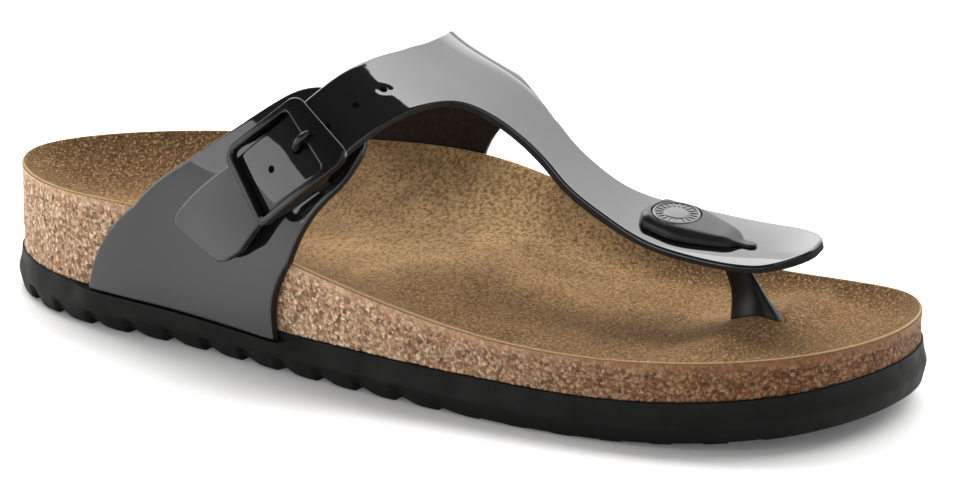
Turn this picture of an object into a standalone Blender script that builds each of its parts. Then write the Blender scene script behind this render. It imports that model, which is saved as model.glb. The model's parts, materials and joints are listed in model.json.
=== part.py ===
"""Toe post sandal for the right foot: cork footbed, T-shaped strap, side buckle and toe post.

Shoe frame: across is +X to the outer side of the foot, along is +Y to the toe, up is +Z.
Sizes are in millimetres until a mesh is made.
"""
import math

import bmesh
import bpy
import numpy as np

# Driving sizes
FOOTBED_LENGTH = 252.0
BALL_WIDTH = 90.0
INSTEP_HEIGHT = 77.0
HEEL_RIM = 34.5
GAP = 0.3
MILLIMETRE = 0.001

# Sole stack
OUTSOLE_HEIGHT = 10.6
TOE_SPRING = 5.5
SPRING_START = 0.74
LUG_DEPTH = 2.2
LUG_PITCH = 12.5
GROOVE_WIDTH = 4.4
GROOVE_SLOPE = 0.9
GROOVE_WAVE = 2.0
GROOVE_WAVE_LENGTH = 30.0
LEDGE = 0.7
STEP_OFFSET = 0.1
STEP_DEPTH = 0.15
STRAP_LEDGE = 2.1
STRAP_LEDGE_FADE = 9.0
LINING_THICKNESS = 1.6
LINING_INSET = 0.5
RIM_CURVE = 2.2

# Leather and hardware
LEATHER = 2.2
HOLE_PITCH = 7.5
HOLE_STEPS = (-1, 1, 2, 3)
HOLE_RADIUS = 1.3
PRONG_HOLE_RADIUS = 1.5
PRONG_RADIUS = 1.0
PRONG_OVERLAP = 3.2
BUCKLE_LIFT = 4.5
BUCKLE_LENGTH = 23.6
BUCKLE_WIDTH = 22.6
BUCKLE_SIDE_BAR = 1.9
BUCKLE_END_BAR = 3.0
BUCKLE_WIDE_BAR = 4.8
BUCKLE_THICKNESS = 2.2
BUCKLE_BEVEL = 0.5
BUCKLE_CORNER = 3.0
BRIDGE_LENGTH = 3.0
BRIDGE_THICKNESS = 1.4
BRIDGE_PLACE = 2.6
BRIDGE_INSET = 0.2
BUTTON_RADIUS = 6.0
BUTTON_THICKNESS = 1.7
BUTTON_DEPTH = 1.2
BUTTON_EDGE = 0.4

# Mesh density
OUTLINE_SAMPLES = 1200
LOOKUP_SAMPLES = 400
FOOTBED_ROWS = 36
FOOTBED_COLUMNS = 10
ROW_CROWDING = 0.6
OUTSOLE_COLUMNS = 5
OUTSOLE_END_ROWS = (0.0, 0.5, 2.0, 4.5, 8.5)
END_ROW = 0.0001
STRAP_COLUMNS = 8
STRAP_OUTER_ROWS = 22
STRAP_INNER_ROWS = 20
TONGUE_END_ROWS = 4
TOE_STRAP_COLUMNS = 6
TOE_STRAP_STEPS = 14
TOE_END_STEPS = 6
QUARTER_COLUMNS = 12
QUARTER_STEPS = 18
QUARTER_END_STEPS = 5
CORNER_POINTS = 7
HOLE_SIDES = 10
PRONG_SIDES = 8
POST_SIDES = 12
BUTTON_SIDES = 24
CAP_COLUMNS = 9
SMOOTH_ANGLE = 35.0

# Reach of the cutters below and above what they cut
PUNCH_REACH = (-2.0, 14.0)
SLOT_REACH = (-6.0, 9.0)
RECESS_REACH = 6.0

# Steps over which a direction on the foot form is read: millimetres along, and share of girth
ALONG_STEP = 0.5
GIRTH_STEP = 0.002

# Outline of the footbed: name, across share of ball width, along share of length, rim share of heel rim
SOLE_LANDMARKS = [
    ("heel_back", 0.000, 0.000, 0.971),
    ("heel_outer", 0.350, 0.115, 1.000),
    ("arch_outer", 0.406, 0.270, 1.000),
    ("waist_outer", 0.467, 0.429, 0.861),
    ("ball_outer", 0.519, 0.634, 0.649),
    ("toe_outer", 0.493, 0.810, 0.626),
    ("toe_corner", 0.289, 0.962, 0.707),
    ("toe_tip", -0.100, 1.000, 0.707),
    ("toe_inner", -0.417, 0.940, 0.649),
    ("ball_inner", -0.483, 0.736, 0.620),
    ("arch_inner", -0.407, 0.484, 1.139),
    ("waist_inner", -0.370, 0.298, 1.130),
    ("heel_inner", -0.359, 0.115, 1.000),
]

# Foot bed along the middle: along, height, rim width (how far the raised rim reaches in)
BED_ROWS = [
    (0.0, 23.0, 26.0),
    (30.0, 22.0, 27.0),
    (75.0, 23.5, 25.0),
    (115.0, 22.5, 23.0),
    (140.0, 20.0, 18.0),
    (165.0, 16.4, 13.0),
    (190.0, 15.2, 11.0),
    (215.0, 15.8, 10.0),
    (238.0, 18.2, 10.0),
    (252.0, 20.8, 9.0),
]

# Soft rises of the bed: name, across, along, half width across, half width along, height
BED_RISES = [
    ("arch_support", -24.0, 108.0, 15.0, 34.0, 5.0),
    ("ball_pad", 2.0, 137.0, 16.0, 15.0, 2.4),
    ("toe_bar", -2.0, 206.0, 40.0, 8.5, 3.0),
]

# Side of the outsole: name, share of its height, offset from the footbed outline, share of the strap ledge
OUTSOLE_SIDE = [
    ("upper_wall", 0.70, 1.0, 0.85),
    ("lip_top", 0.60, 2.3, 0.45),
    ("lip_bottom", 0.50, 2.2, 0.40),
    ("recess", 0.36, 0.8, 0.00),
]
TREAD_OFFSET = -0.8

# How far the leather's foot sinks below the outsole's top: side, at its back end, at its front end
STRAP_SINK = {"outer": (0.4, 2.4), "inner": (1.0, 1.0)}

# Top line of the foot form: along, across, share of instep height
CREST_ROWS = [
    (30.0, -1.0, 1.351),
    (60.0, -1.0, 1.312),
    (90.0, -1.0, 1.208),
    (110.0, 0.0, 1.097),
    (122.0, 0.0, 0.990),
    (140.0, -8.0, 0.851),
    (155.0, -13.0, 0.688),
    (170.0, -17.0, 0.561),
    (185.0, -19.0, 0.494),
    (200.0, -20.0, 0.462),
    (212.0, -20.0, 0.457),
    (222.0, -20.0, 0.470),
    (232.0, -20.0, 0.496),
    (252.0, -18.0, 0.500),
]
RIM_GIRTH = 0.15
CREST_GIRTH = 0.5

# Strips of the upper, a row for each station: name, then along, girth and lift of the back edge,
# then the same of the front edge. Girth runs from 0 at the outer sole edge over 0.5 at the crest
# to 1 at the inner sole edge.
BAND_ROWS = [
    ("tongue_end", 72.6, 0.148, 2.6, 90.6, 0.109, 2.6),
    ("tongue", 82.0, 0.185, 3.0, 99.0, 0.153, 3.2),
    ("buckle_in", 93.6, 0.221, BUCKLE_LIFT, 106.5, 0.193, BUCKLE_LIFT),
    ("buckle_out", 109.6, 0.306, BUCKLE_LIFT, 122.7, 0.283, BUCKLE_LIFT),
    ("past_buckle", 113.0, 0.350, 3.0, 128.2, 0.341, 3.0),
    ("instep_outer", 117.0, 0.393, 1.1, 134.6, 0.405, 1.1),
    ("shoulder", 121.7, 0.445, 0.2, 141.4, 0.432, 0.2),
    ("root_outer", 123.2, 0.478, 0.0, 150.0, 0.445, 0.0),
    ("root_middle", 123.4, 0.505, 0.0, 150.0, 0.473, 0.0),
    ("root_inner", 123.2, 0.533, 0.0, 148.2, 0.506, 0.0),
    ("instep_inner", 121.4, 0.570, 0.0, 140.3, 0.547, 0.0),
    ("upper_inner", 115.0, 0.630, 0.0, 134.0, 0.612, 0.0),
    ("middle_inner", 103.5, 0.705, 0.0, 128.5, 0.700, 0.0),
    ("lower_inner", 88.0, 0.785, 0.0, 122.5, 0.785, 0.0),
    ("rim_inner", 76.0, 0.850, 0.0, 115.4, 0.850, 0.0),
    ("wall_inner", 67.5, 0.925, 0.0, 113.0, 0.925, 0.0),
    ("sole_inner", 62.0, 1.000, 0.0, 112.5, 1.000, 0.0),
]
TOE_STRAP_ROWS = [
    ("root", 150.0, 0.445, 0.0, 148.2, 0.506, 0.0),
    ("neck", 155.5, 0.441, 0.0, 154.1, 0.495, 0.0),
    ("slope", 162.5, 0.434, 0.0, 162.7, 0.488, 0.0),
    ("foot", 172.7, 0.430, 0.0, 171.5, 0.486, 0.0),
    ("flare", 181.0, 0.426, 0.0, 179.8, 0.492, 0.3),
    ("cap", 190.0, 0.423, 0.0, 188.5, 0.496, 1.2),
    ("post", 201.0, 0.423, 0.0, 199.6, 0.498, 1.9),
    ("front", 212.0, 0.424, -0.3, 210.8, 0.498, 2.2),
    ("tip", 227.0, 0.431, 0.2, 226.0, 0.496, 1.6),
]
QUARTER_ROWS = [
    ("sole", 43.6, 0.000, 0.0, 104.6, 0.000, 0.0),
    ("wall", 46.0, 0.053, 0.0, 104.0, 0.050, 0.0),
    ("rim", 54.5, 0.127, 0.0, 106.8, 0.115, 0.0),
    ("flank", 66.2, 0.176, 0.0, 112.8, 0.181, 0.0),
    ("waist", 80.2, 0.217, 0.0, 119.0, 0.230, 0.0),
    ("buckle", 93.3, 0.264, 0.0, 123.4, 0.265, 0.0),
    ("top", 104.2, 0.314, 0.0, 125.6, 0.303, 0.0),
    ("end", 110.0, 0.347, 0.0, 127.0, 0.337, 0.0),
]

# Ends of the strips: corner radius, and the share of the half width that it rounds off
TONGUE_END = (6.0, 0.55)
TOE_END = (13.0, 0.86)
QUARTER_END = (9.0, 0.75)

# Prong from the bridge bar to the wide bar: name, share of its reach, of its rise and of its radius
PRONG_ROWS = [
    ("bar", 0.00, 0.000, 1.00),
    ("hole", 0.00, 0.365, 1.00),
    ("knee", 0.08, 0.620, 1.00),
    ("rise", 0.29, 0.825, 1.00),
    ("bar_edge", 0.42, 0.960, 0.95),
    ("shank", 0.79, 1.000, 0.85),
    ("tip", 1.00, 0.984, 0.50),
]

# Toe post stem: name, share of its height, half width across, back along, front along
POST_ROWS = [
    ("foot", 0.00, 3.0, 203.4, 217.6),
    ("ankle", 0.16, 2.1, 203.9, 214.2),
    ("shin", 0.38, 1.6, 204.2, 211.6),
    ("neck", 0.70, 1.5, 204.2, 210.6),
    ("top", 1.00, 1.5, 204.2, 210.6),
]
POST_SEAT = 0.6
POST_INTO_CAP = 0.9
SLOT_CLEARANCE = 0.35

# Cap of the toe post on the strap: along, half width, height
CAP_ROWS = [
    (177.8, 2.4, 0.9),
    (179.2, 5.2, 1.8),
    (182.0, 7.0, 2.5),
    (186.6, 7.6, 2.8),
    (191.4, 7.1, 2.7),
    (196.0, 5.8, 2.4),
    (201.0, 4.5, 2.1),
    (206.0, 3.7, 1.9),
    (210.8, 3.2, 1.6),
    (212.2, 1.7, 1.0),
]
CAP_EDGE = 0.4
CAP_FLATNESS = 4
CAP_SHOULDER = 0.6
BUTTON_ALONG = 186.4

# Finishes: name, colour, roughness, metallic
FINISHES = {
    "outsole_rubber": ((0.022, 0.021, 0.020), 0.75, 0.0),
    "cork": ((0.45, 0.29, 0.18), 0.85, 0.0),
    "suede": ((0.33, 0.19, 0.08), 0.95, 0.0),
    "patent_leather": ((0.012, 0.012, 0.013), 0.12, 0.0),
    "hardware": ((0.010, 0.010, 0.011), 0.25, 0.0),
    "post_moulding": ((0.014, 0.014, 0.014), 0.35, 0.0),
}


def closed_spline(points):
    """Smooth closed curve through points, over the chord length of their first two columns."""
    knots = np.vstack([points, points[:1]])
    places = np.r_[0, np.cumsum(np.linalg.norm(np.diff(knots[:, :2], axis=0), axis=1))]
    steps = np.diff(places)
    count = len(steps)
    matrix = np.zeros((count, count))
    right = np.zeros((count, knots.shape[1]))
    for i in range(count):
        before, after = steps[i - 1], steps[i]
        matrix[i, i - 1] += after
        matrix[i, i] += 2 * (before + after)
        matrix[i, (i + 1) % count] += before
        rise = after * (knots[i] - points[i - 1]) / before + before * (knots[i + 1] - knots[i]) / after
        right[i] = 3 * rise
    slopes = np.linalg.solve(matrix, right)
    slopes = np.vstack([slopes, slopes[:1]])
    return places, lambda place: hermite(places, knots, slopes, place)


def open_spline(places, values):
    """Smooth open curve through values at places, straight at its ends."""
    steps = np.diff(places)
    count = len(places)
    matrix = np.zeros((count, count))
    right = np.zeros_like(values)
    matrix[0, :2] = 2, 1
    matrix[-1, -2:] = 1, 2
    right[0] = 3 * (values[1] - values[0]) / steps[0]
    right[-1] = 3 * (values[-1] - values[-2]) / steps[-1]
    for i in range(1, count - 1):
        before, after = steps[i - 1], steps[i]
        matrix[i, i - 1:i + 2] = after, 2 * (before + after), before
        rise = after * (values[i] - values[i - 1]) / before + before * (values[i + 1] - values[i]) / after
        right[i] = 3 * rise
    slopes = np.linalg.solve(matrix, right)
    return lambda place: hermite(places, values, slopes, place)


def hermite(places, values, slopes, place):
    place = np.asarray(place, float)
    i = np.clip(np.searchsorted(places, place, side="right") - 1, 0, len(places) - 2)
    step = places[i + 1] - places[i]
    t = (place - places[i]) / step
    if values.ndim > 1:
        t, step = t[..., None], step[..., None]
    keep = (1 + 2 * t) * (1 - t) ** 2 * values[i] + t * t * (3 - 2 * t) * values[i + 1]
    return keep + step * (t * (1 - t) ** 2 * slopes[i] - t * t * (1 - t) * slopes[i + 1])


def column_spline(rows, column):
    table = np.array([row[-3:] for row in rows], float)
    return open_spline(table[:, 0], table[:, column])


def smooth_step(value):
    value = np.clip(value, 0, 1)
    return value * value * (3 - 2 * value)


class Outline:
    """A closed outline read as an inner (0) and an outer (1) side over the length."""

    def __init__(self, points):
        points = np.roll(points, -points[:, 1].argmin(), axis=0)
        toe = points[:, 1].argmax()
        inner = np.vstack([points[toe:], points[:1]])[::-1]
        self.sides = (inner, points[:toe + 1])
        self.low = points[0, 1]
        self.high = points[toe, 1]

    def edge(self, along, side):
        table = self.sides[side]
        across = np.interp(along, table[:, 1], table[:, 0])
        return across, np.interp(along, table[:, 1], table[:, 2])

    def grid(self, shares, columns):
        """Places across and along for rows at shares of the length."""
        along = self.low + (self.high - self.low) * np.asarray(shares)
        inner, outer = self.edge(along, 0)[0], self.edge(along, 1)[0]
        across = inner[:, None] + (outer - inner)[:, None] * columns
        return across, np.repeat(along[:, None], len(columns), axis=1)

    def side_points(self, shares, side):
        """Points down one side of the outline at its own heights, lifted by the toe spring."""
        along = self.low + (self.high - self.low) * np.asarray(shares)
        across, height = self.edge(along, side)
        return np.stack([across, along, height + spring(along)], -1)


def footbed_outline():
    scale = np.array([BALL_WIDTH, FOOTBED_LENGTH, HEEL_RIM])
    landmarks = np.array([row[1:] for row in SOLE_LANDMARKS]) * scale
    places, curve = closed_spline(landmarks)
    return curve(np.linspace(0, places[-1], OUTLINE_SAMPLES, endpoint=False))


OUTLINE_POINTS = footbed_outline()
TANGENTS = np.roll(OUTLINE_POINTS, -1, axis=0)[:, :2] - np.roll(OUTLINE_POINTS, 1, axis=0)[:, :2]
NORMALS = np.stack([TANGENTS[:, 1], -TANGENTS[:, 0]], -1) / np.linalg.norm(TANGENTS, axis=1)[:, None]
FOOTBED = Outline(OUTLINE_POINTS)
bed_height = column_spline(BED_ROWS, 1)
bed_rim_width = column_spline(BED_ROWS, 2)
crest_across = column_spline(CREST_ROWS, 1)
crest_share = column_spline(CREST_ROWS, 2)


def offset_outline(offset, height=None):
    """The footbed outline moved outwards, with its rim heights or with a height of its own."""
    moved = OUTLINE_POINTS.copy()
    moved[:, :2] += NORMALS * np.reshape(offset, (-1, 1))
    if height is not None:
        moved[:, 2] = height
    return Outline(moved)


def spring(along):
    start = SPRING_START * FOOTBED_LENGTH
    lift = np.maximum(np.asarray(along) - start, 0) / (FOOTBED_LENGTH - start)
    return TOE_SPRING * lift ** 2


def footbed_top(across, along):
    """Height of the lining's upper face: a bed with a raised rim and soft rises."""
    across, along = np.asarray(across, float), np.asarray(along, float)
    flat = np.stack([across.ravel(), along.ravel()], -1)
    reach = np.linalg.norm(flat[:, None] - OUTLINE_POINTS[None, :, :2], axis=2)
    nearest = reach.argmin(axis=1)
    depth = reach.min(axis=1).reshape(across.shape)
    rim = OUTLINE_POINTS[nearest, 2].reshape(across.shape)
    bed = bed_height(along)
    share = np.clip(1 - depth / bed_rim_width(along), 0, 1) ** RIM_CURVE
    rise = np.zeros_like(across)
    for _, x, y, half_across, half_along, height in BED_RISES:
        rise += height * np.exp(-((across - x) / half_across) ** 2 - ((along - y) / half_along) ** 2)
    return bed + (rim - bed) * share + rise * (1 - share)


def leather_feet(along, outer_side):
    """Back and front ends of the leather on the sole's side, and how far its foot sinks there."""
    quarter, band = QUARTER_ROWS[0], BAND_ROWS[-1]
    back = np.where(outer_side, quarter[1], band[1])
    front = np.where(outer_side, quarter[4], band[4])
    share = np.clip((along - back) / (front - back), 0, 1)
    sinks = [np.interp(share, (0, 1), STRAP_SINK[side]) for side in ("outer", "inner")]
    return back, front, np.where(outer_side, *sinks)


def last_point(along, girth):
    """Point of the foot form: an upright wall to the rim, then quarter ellipses to the crest."""
    along, girth = np.asarray(along, float), np.asarray(girth, float)
    outer_side = girth < CREST_GIRTH
    turn = np.where(outer_side, girth, 1 - girth)
    outer, inner = FOOTBED.edge(along, 1), FOOTBED.edge(along, 0)
    base = np.where(outer_side, outer[0] + GAP, inner[0] - GAP)
    rim = np.where(outer_side, outer[1], inner[1])
    crest = INSTEP_HEIGHT * crest_share(along)
    angle = np.clip((turn - RIM_GIRTH) / (CREST_GIRTH - RIM_GIRTH), 0, 1) * math.pi / 2
    across = crest_across(along) + (base - crest_across(along)) * np.cos(angle)
    foot = OUTSOLE_HEIGHT + GAP - leather_feet(along, outer_side)[2]
    wall = foot + (rim - foot) * turn / RIM_GIRTH
    height = np.where(turn < RIM_GIRTH, wall, rim + (crest - rim) * np.sin(angle))
    return np.stack([across, along + 0 * across, height], -1)


def last_normal(along, girth):
    """Outward normal of the foot form."""
    along, girth = np.asarray(along, float), np.asarray(girth, float)
    low, high = np.maximum(girth - GIRTH_STEP, 0), np.minimum(girth + GIRTH_STEP, 1)
    forward = last_point(along + ALONG_STEP, girth) - last_point(along - ALONG_STEP, girth)
    around = last_point(along, high) - last_point(along, low)
    normal = np.cross(forward, around)
    return normal / np.linalg.norm(normal, axis=-1, keepdims=True)


def on_last(along, girth, offset):
    return last_point(along, girth) + last_normal(along, girth) * np.asarray(offset)[..., None]


class Strip:
    """A strip of leather on the foot form, read by its place along it and its share across it."""

    def __init__(self, rows):
        self.names = [row[0] for row in rows]
        table = np.array([row[1:] for row in rows], float)
        middle = last_point((table[:, 0] + table[:, 3]) / 2, (table[:, 1] + table[:, 4]) / 2)
        self.places = np.r_[0, np.cumsum(np.linalg.norm(np.diff(middle, axis=0), axis=1))]
        self.length = self.places[-1]
        self.curve = open_spline(self.places, table)

    def place(self, name):
        return self.places[self.names.index(name)]

    def at(self, place, share, narrow=1.0):
        """Along, girth and lift; narrow draws the edges in where an end is rounded."""
        row = self.curve(place)
        share = 0.5 + (np.asarray(share) - 0.5) * narrow
        return [row[..., i] + (row[..., i + 3] - row[..., i]) * share for i in range(3)]

    def point(self, place, share, offset=0.0):
        """Point of the strip's inner face, or off it by an offset."""
        along, girth, lift = self.at(np.asarray(place, float), share)
        return on_last(along, girth, lift + offset)

    def place_at(self, along):
        """Place where the strip's middle line reaches a place along the foot."""
        places = np.linspace(0, self.length, LOOKUP_SAMPLES)
        return np.interp(along, self.at(places, 0.5)[0], places)

    def station(self, place):
        """Point on the middle line's inner face, with its forward, across and normal directions."""
        forward = self.point(place + ALONG_STEP, 0.5) - self.point(place - ALONG_STEP, 0.5)
        across = self.point(place, 0.6) - self.point(place, 0.4)
        normal = np.cross(across, forward)
        normal *= np.sign(normal @ (self.point(place, 0.5, 1.0) - self.point(place, 0.5)))
        normal /= np.linalg.norm(normal)
        forward /= np.linalg.norm(forward)
        return self.point(place, 0.5), forward, np.cross(forward, normal), normal


def round_end(distance, end):
    radius, share = end
    inside = 1 - np.clip(np.asarray(distance) / radius, 0, 1)
    return 1 - share + share * np.sqrt(1 - inside ** 2)


def end_places(length, end, count):
    """Places that crowd towards a rounded end at length."""
    return length - end[0] * (1 - np.sin(np.linspace(0, math.pi / 2, count + 1)[1:]))


def sheet_faces(rows, columns, first=0):
    faces = []
    for r in range(rows - 1):
        for c in range(columns - 1):
            corner = first + r * columns + c
            faces.append((corner, corner + 1, corner + columns + 1, corner + columns))
    return faces


def thicken(outer, inner, faces):
    """Close two matching sheets into one solid with walls along their open edges."""
    count = len(outer)
    solid = list(faces) + [tuple(count + i for i in reversed(face)) for face in faces]
    edges = {(face[i - 1], face[i]) for face in faces for i in range(len(face))}
    for a, b in sorted(edges):
        if (b, a) not in edges:
            solid.append((b, a, count + a, count + b))
    return np.vstack([outer, inner]), solid


def loft(loops):
    """Close a run of equal loops into one solid."""
    rows, count = len(loops), len(loops[0])
    faces = [tuple(range(count)), tuple(reversed(range((rows - 1) * count, rows * count)))]
    for r in range(rows - 1):
        for i in range(count):
            j = (i + 1) % count
            faces.append((r * count + i, r * count + j, (r + 1) * count + j, (r + 1) * count + i))
    return np.vstack(loops), faces


def slab(top, bottom, inner_sides=(), outer_sides=()):
    """Close a top and a bottom grid with side lines that run from top to bottom.

    Each four-sided face is split the same way round, so that stacked slabs keep their gap.
    """
    loops = []
    for r in range(len(top)):
        outer = [side[r] for side in outer_sides]
        inner = [side[r] for side in reversed(inner_sides)]
        loops.append(np.array(list(top[r]) + outer + list(bottom[r][::-1]) + inner))
    points, faces = loft(loops)
    triangles = []
    for face in faces:
        if len(face) != 4:
            triangles.append(face)
            continue
        a, b, c, d = face
        reach = points[c] - points[a]
        if reach[0] * reach[1] > 0:
            triangles += [(a, b, c), (a, c, d)]
        else:
            triangles += [(a, b, d), (b, c, d)]
    return points, triangles


def add_object(name, solid, finish):
    points, faces = solid
    mesh = bpy.data.meshes.new(name)
    mesh.from_pydata((np.asarray(points) * MILLIMETRE).tolist(), [], faces)
    cleaner = bmesh.new()
    cleaner.from_mesh(mesh)
    bmesh.ops.recalc_face_normals(cleaner, faces=cleaner.faces)
    cleaner.to_mesh(mesh)
    cleaner.free()
    mesh.shade_smooth()
    mesh.set_sharp_from_angle(angle=math.radians(SMOOTH_ANGLE))
    if finish:
        mesh.materials.append(finish)
    piece = bpy.data.objects.new(name, mesh)
    bpy.context.scene.collection.objects.link(piece)
    piece.parent = SANDAL
    return piece


def add_cutter(name, solid):
    cutter = add_object(name, solid, None)
    cutter.hide_render = True
    cutter.display_type = "WIRE"
    return cutter


def combine(piece, cutter, operation):
    change = piece.modifiers.new(cutter.name, "BOOLEAN")
    change.operation = operation
    change.object = cutter


def joined(solids):
    """Several closed solids as one mesh."""
    points, faces = [], []
    for more_points, more_faces in solids:
        first = sum(len(group) for group in points)
        points.append(more_points)
        faces += [tuple(first + i for i in face) for face in more_faces]
    return np.vstack(points), faces


def finish_material(name):
    colour, roughness, metallic = FINISHES[name]
    material = bpy.data.materials.new(name)
    material.use_nodes = True
    shader = material.node_tree.nodes["Principled BSDF"]
    shader.inputs["Base Color"].default_value = (*colour, 1)
    shader.inputs["Roughness"].default_value = roughness
    shader.inputs["Metallic"].default_value = metallic
    return material


def crowded_shares(count, crowding=1.0):
    """Shares from 0 to 1 that crowd towards both ends."""
    even = np.linspace(0, 1, count)
    return even + crowding * ((1 - np.cos(math.pi * even)) / 2 - even)


def strap_bulge():
    """Share of the strap ledge around the outsole: 1 where the leather comes down on it."""
    along = OUTLINE_POINTS[:, 1]
    back, front, sink = leather_feet(along, OUTLINE_POINTS[:, 0] > 0)
    bulge = smooth_step(np.minimum(along - back, front - along) / STRAP_LEDGE_FADE + 1)
    return bulge, STEP_DEPTH + (sink - STEP_DEPTH) * bulge


def build_outsole(finish):
    """Outsole with a flared lip, a recessed tread and wavy cross lugs, lifted at the toe."""
    edges = np.arange(GROOVE_WIDTH, FOOTBED_LENGTH - GROOVE_WIDTH, LUG_PITCH)
    offsets = np.array([0, GROOVE_SLOPE, GROOVE_WIDTH - GROOVE_SLOPE, GROOVE_WIDTH])
    groove_rows = (edges[1:-1, None] + offsets).ravel()
    cuts = np.tile([0, 1, 1, 0], len(edges) - 2)
    ends = np.array(OUTSOLE_END_ROWS)
    rows = np.r_[ends, groove_rows, FOOTBED_LENGTH - ends[::-1]]
    cuts = np.r_[0 * ends, cuts, 0 * ends]
    shares = np.clip(rows / FOOTBED_LENGTH, END_ROW, 1 - END_ROW)
    columns = np.linspace(0, 1, OUTSOLE_COLUMNS)

    across, along = offset_outline(STEP_OFFSET).grid(shares, columns)
    top = np.stack([across, along, OUTSOLE_HEIGHT + spring(along)], -1)
    across, along = offset_outline(TREAD_OFFSET).grid(shares, columns)
    inside = np.sin(math.pi * columns)
    wave = GROOVE_WAVE * np.sin(2 * math.pi * across / GROOVE_WAVE_LENGTH) * inside
    wave[(rows < LUG_PITCH) | (rows > FOOTBED_LENGTH - LUG_PITCH)] = 0
    bottom = np.stack([across, along + wave, spring(along) + LUG_DEPTH * cuts[:, None]], -1)
    bulge, sink = strap_bulge()
    levels = [
        offset_outline(STEP_OFFSET, OUTSOLE_HEIGHT - sink),
        offset_outline(LEDGE + STRAP_LEDGE * bulge, OUTSOLE_HEIGHT - sink),
    ]
    for _, height, offset, bulge_share in OUTSOLE_SIDE:
        levels.append(offset_outline(offset + STRAP_LEDGE * bulge_share * bulge, height * OUTSOLE_HEIGHT))
    sides = [[level.side_points(shares, side) for level in levels] for side in (0, 1)]
    return add_object("outsole", slab(top, bottom, *sides), finish)


def build_footbed(cork_finish, lining_finish):
    """Cork core on the outsole, and the suede lining bonded over its top."""
    shares = np.clip(crowded_shares(FOOTBED_ROWS, ROW_CROWDING), END_ROW, 1 - END_ROW)
    across, along = offset_outline(-LINING_INSET).grid(shares, crowded_shares(FOOTBED_COLUMNS))
    top = footbed_top(across, along)
    upper = np.stack([across, along, top], -1)
    lower = upper - [0, 0, LINING_THICKNESS]
    add_object("footbed_lining", slab(upper, lower), lining_finish)

    core_top = lower - [0, 0, GAP]
    wall_across, wall_along = FOOTBED.grid(shares, np.array([0.0, 1.0]))
    rim = footbed_top(wall_across, wall_along) - LINING_THICKNESS - 2 * GAP
    wall = np.stack([wall_across, wall_along, rim], -1)
    foot = np.stack([wall_across, wall_along, OUTSOLE_HEIGHT + GAP + spring(wall_along)], -1)
    core_bottom = np.stack([across, along, OUTSOLE_HEIGHT + GAP + spring(along)], -1)
    core = slab(core_top, core_bottom, (wall[:, 0], foot[:, 0]), (wall[:, 1], foot[:, 1]))
    add_object("cork_footbed", core, cork_finish)


def leather_sheets(along, girth, lift):
    inner = on_last(along, girth, lift)
    outer = on_last(along, girth, lift + LEATHER)
    return outer.reshape(-1, 3), inner.reshape(-1, 3)


BAND = Strip(BAND_ROWS)
TOE_STRAP = Strip(TOE_STRAP_ROWS)
QUARTER = Strip(QUARTER_ROWS)
BUCKLE_PLACE = (BAND.place("buckle_in") + BAND.place("buckle_out")) / 2


def band_station(place):
    """Point on the foot form under the band's middle, with its forward, across and normal directions."""
    along, girth, _ = BAND.at(place + ALONG_STEP * np.array([-1, 0, 1]), 0.5)
    points = last_point(along, girth)
    normal = last_normal(along[1], girth[1])
    forward = points[2] - points[0]
    forward -= normal * (forward @ normal)
    forward /= np.linalg.norm(forward)
    return points[1], forward, np.cross(forward, normal), normal


def buckle_point(forward, across, height):
    """Point beside the buckle's middle: along the band, across it and off the foot form."""
    point, _, side, normal = band_station(BUCKLE_PLACE + forward)
    return point + side * across + normal * height


def punch(place, radius):
    """Round cutter through the band at a place along its middle line."""
    point, forward, side, normal = band_station(place)
    turns = np.linspace(0, 2 * math.pi, HOLE_SIDES, endpoint=False)[:, None]
    ring = point + radius * (np.cos(turns) * forward + np.sin(turns) * side)
    return loft([ring + normal * height for height in PUNCH_REACH])


def toe_strap_height(across, along, offset):
    """Height of the toe strap's inner face near the post, plus an offset, as a flat patch."""
    point, _, _, normal = TOE_STRAP.station(TOE_STRAP.place_at(np.mean(along)))
    return point[2] + (offset - (across - point[0]) * normal[0] - (along - point[1]) * normal[1]) / normal[2]


def post_ring(half_across, back, front):
    """Places across and along of an oval ring of the stem, which stands under the strap's middle."""
    _, _, _, top_back, top_front = POST_ROWS[-1]
    middle = TOE_STRAP.point(TOE_STRAP.place_at((top_back + top_front) / 2), 0.5)
    turns = np.linspace(0, 2 * math.pi, POST_SIDES, endpoint=False)
    across = middle[0] + half_across * np.cos(turns)
    return across, (back + front) / 2 + (front - back) / 2 * np.sin(turns)


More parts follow.
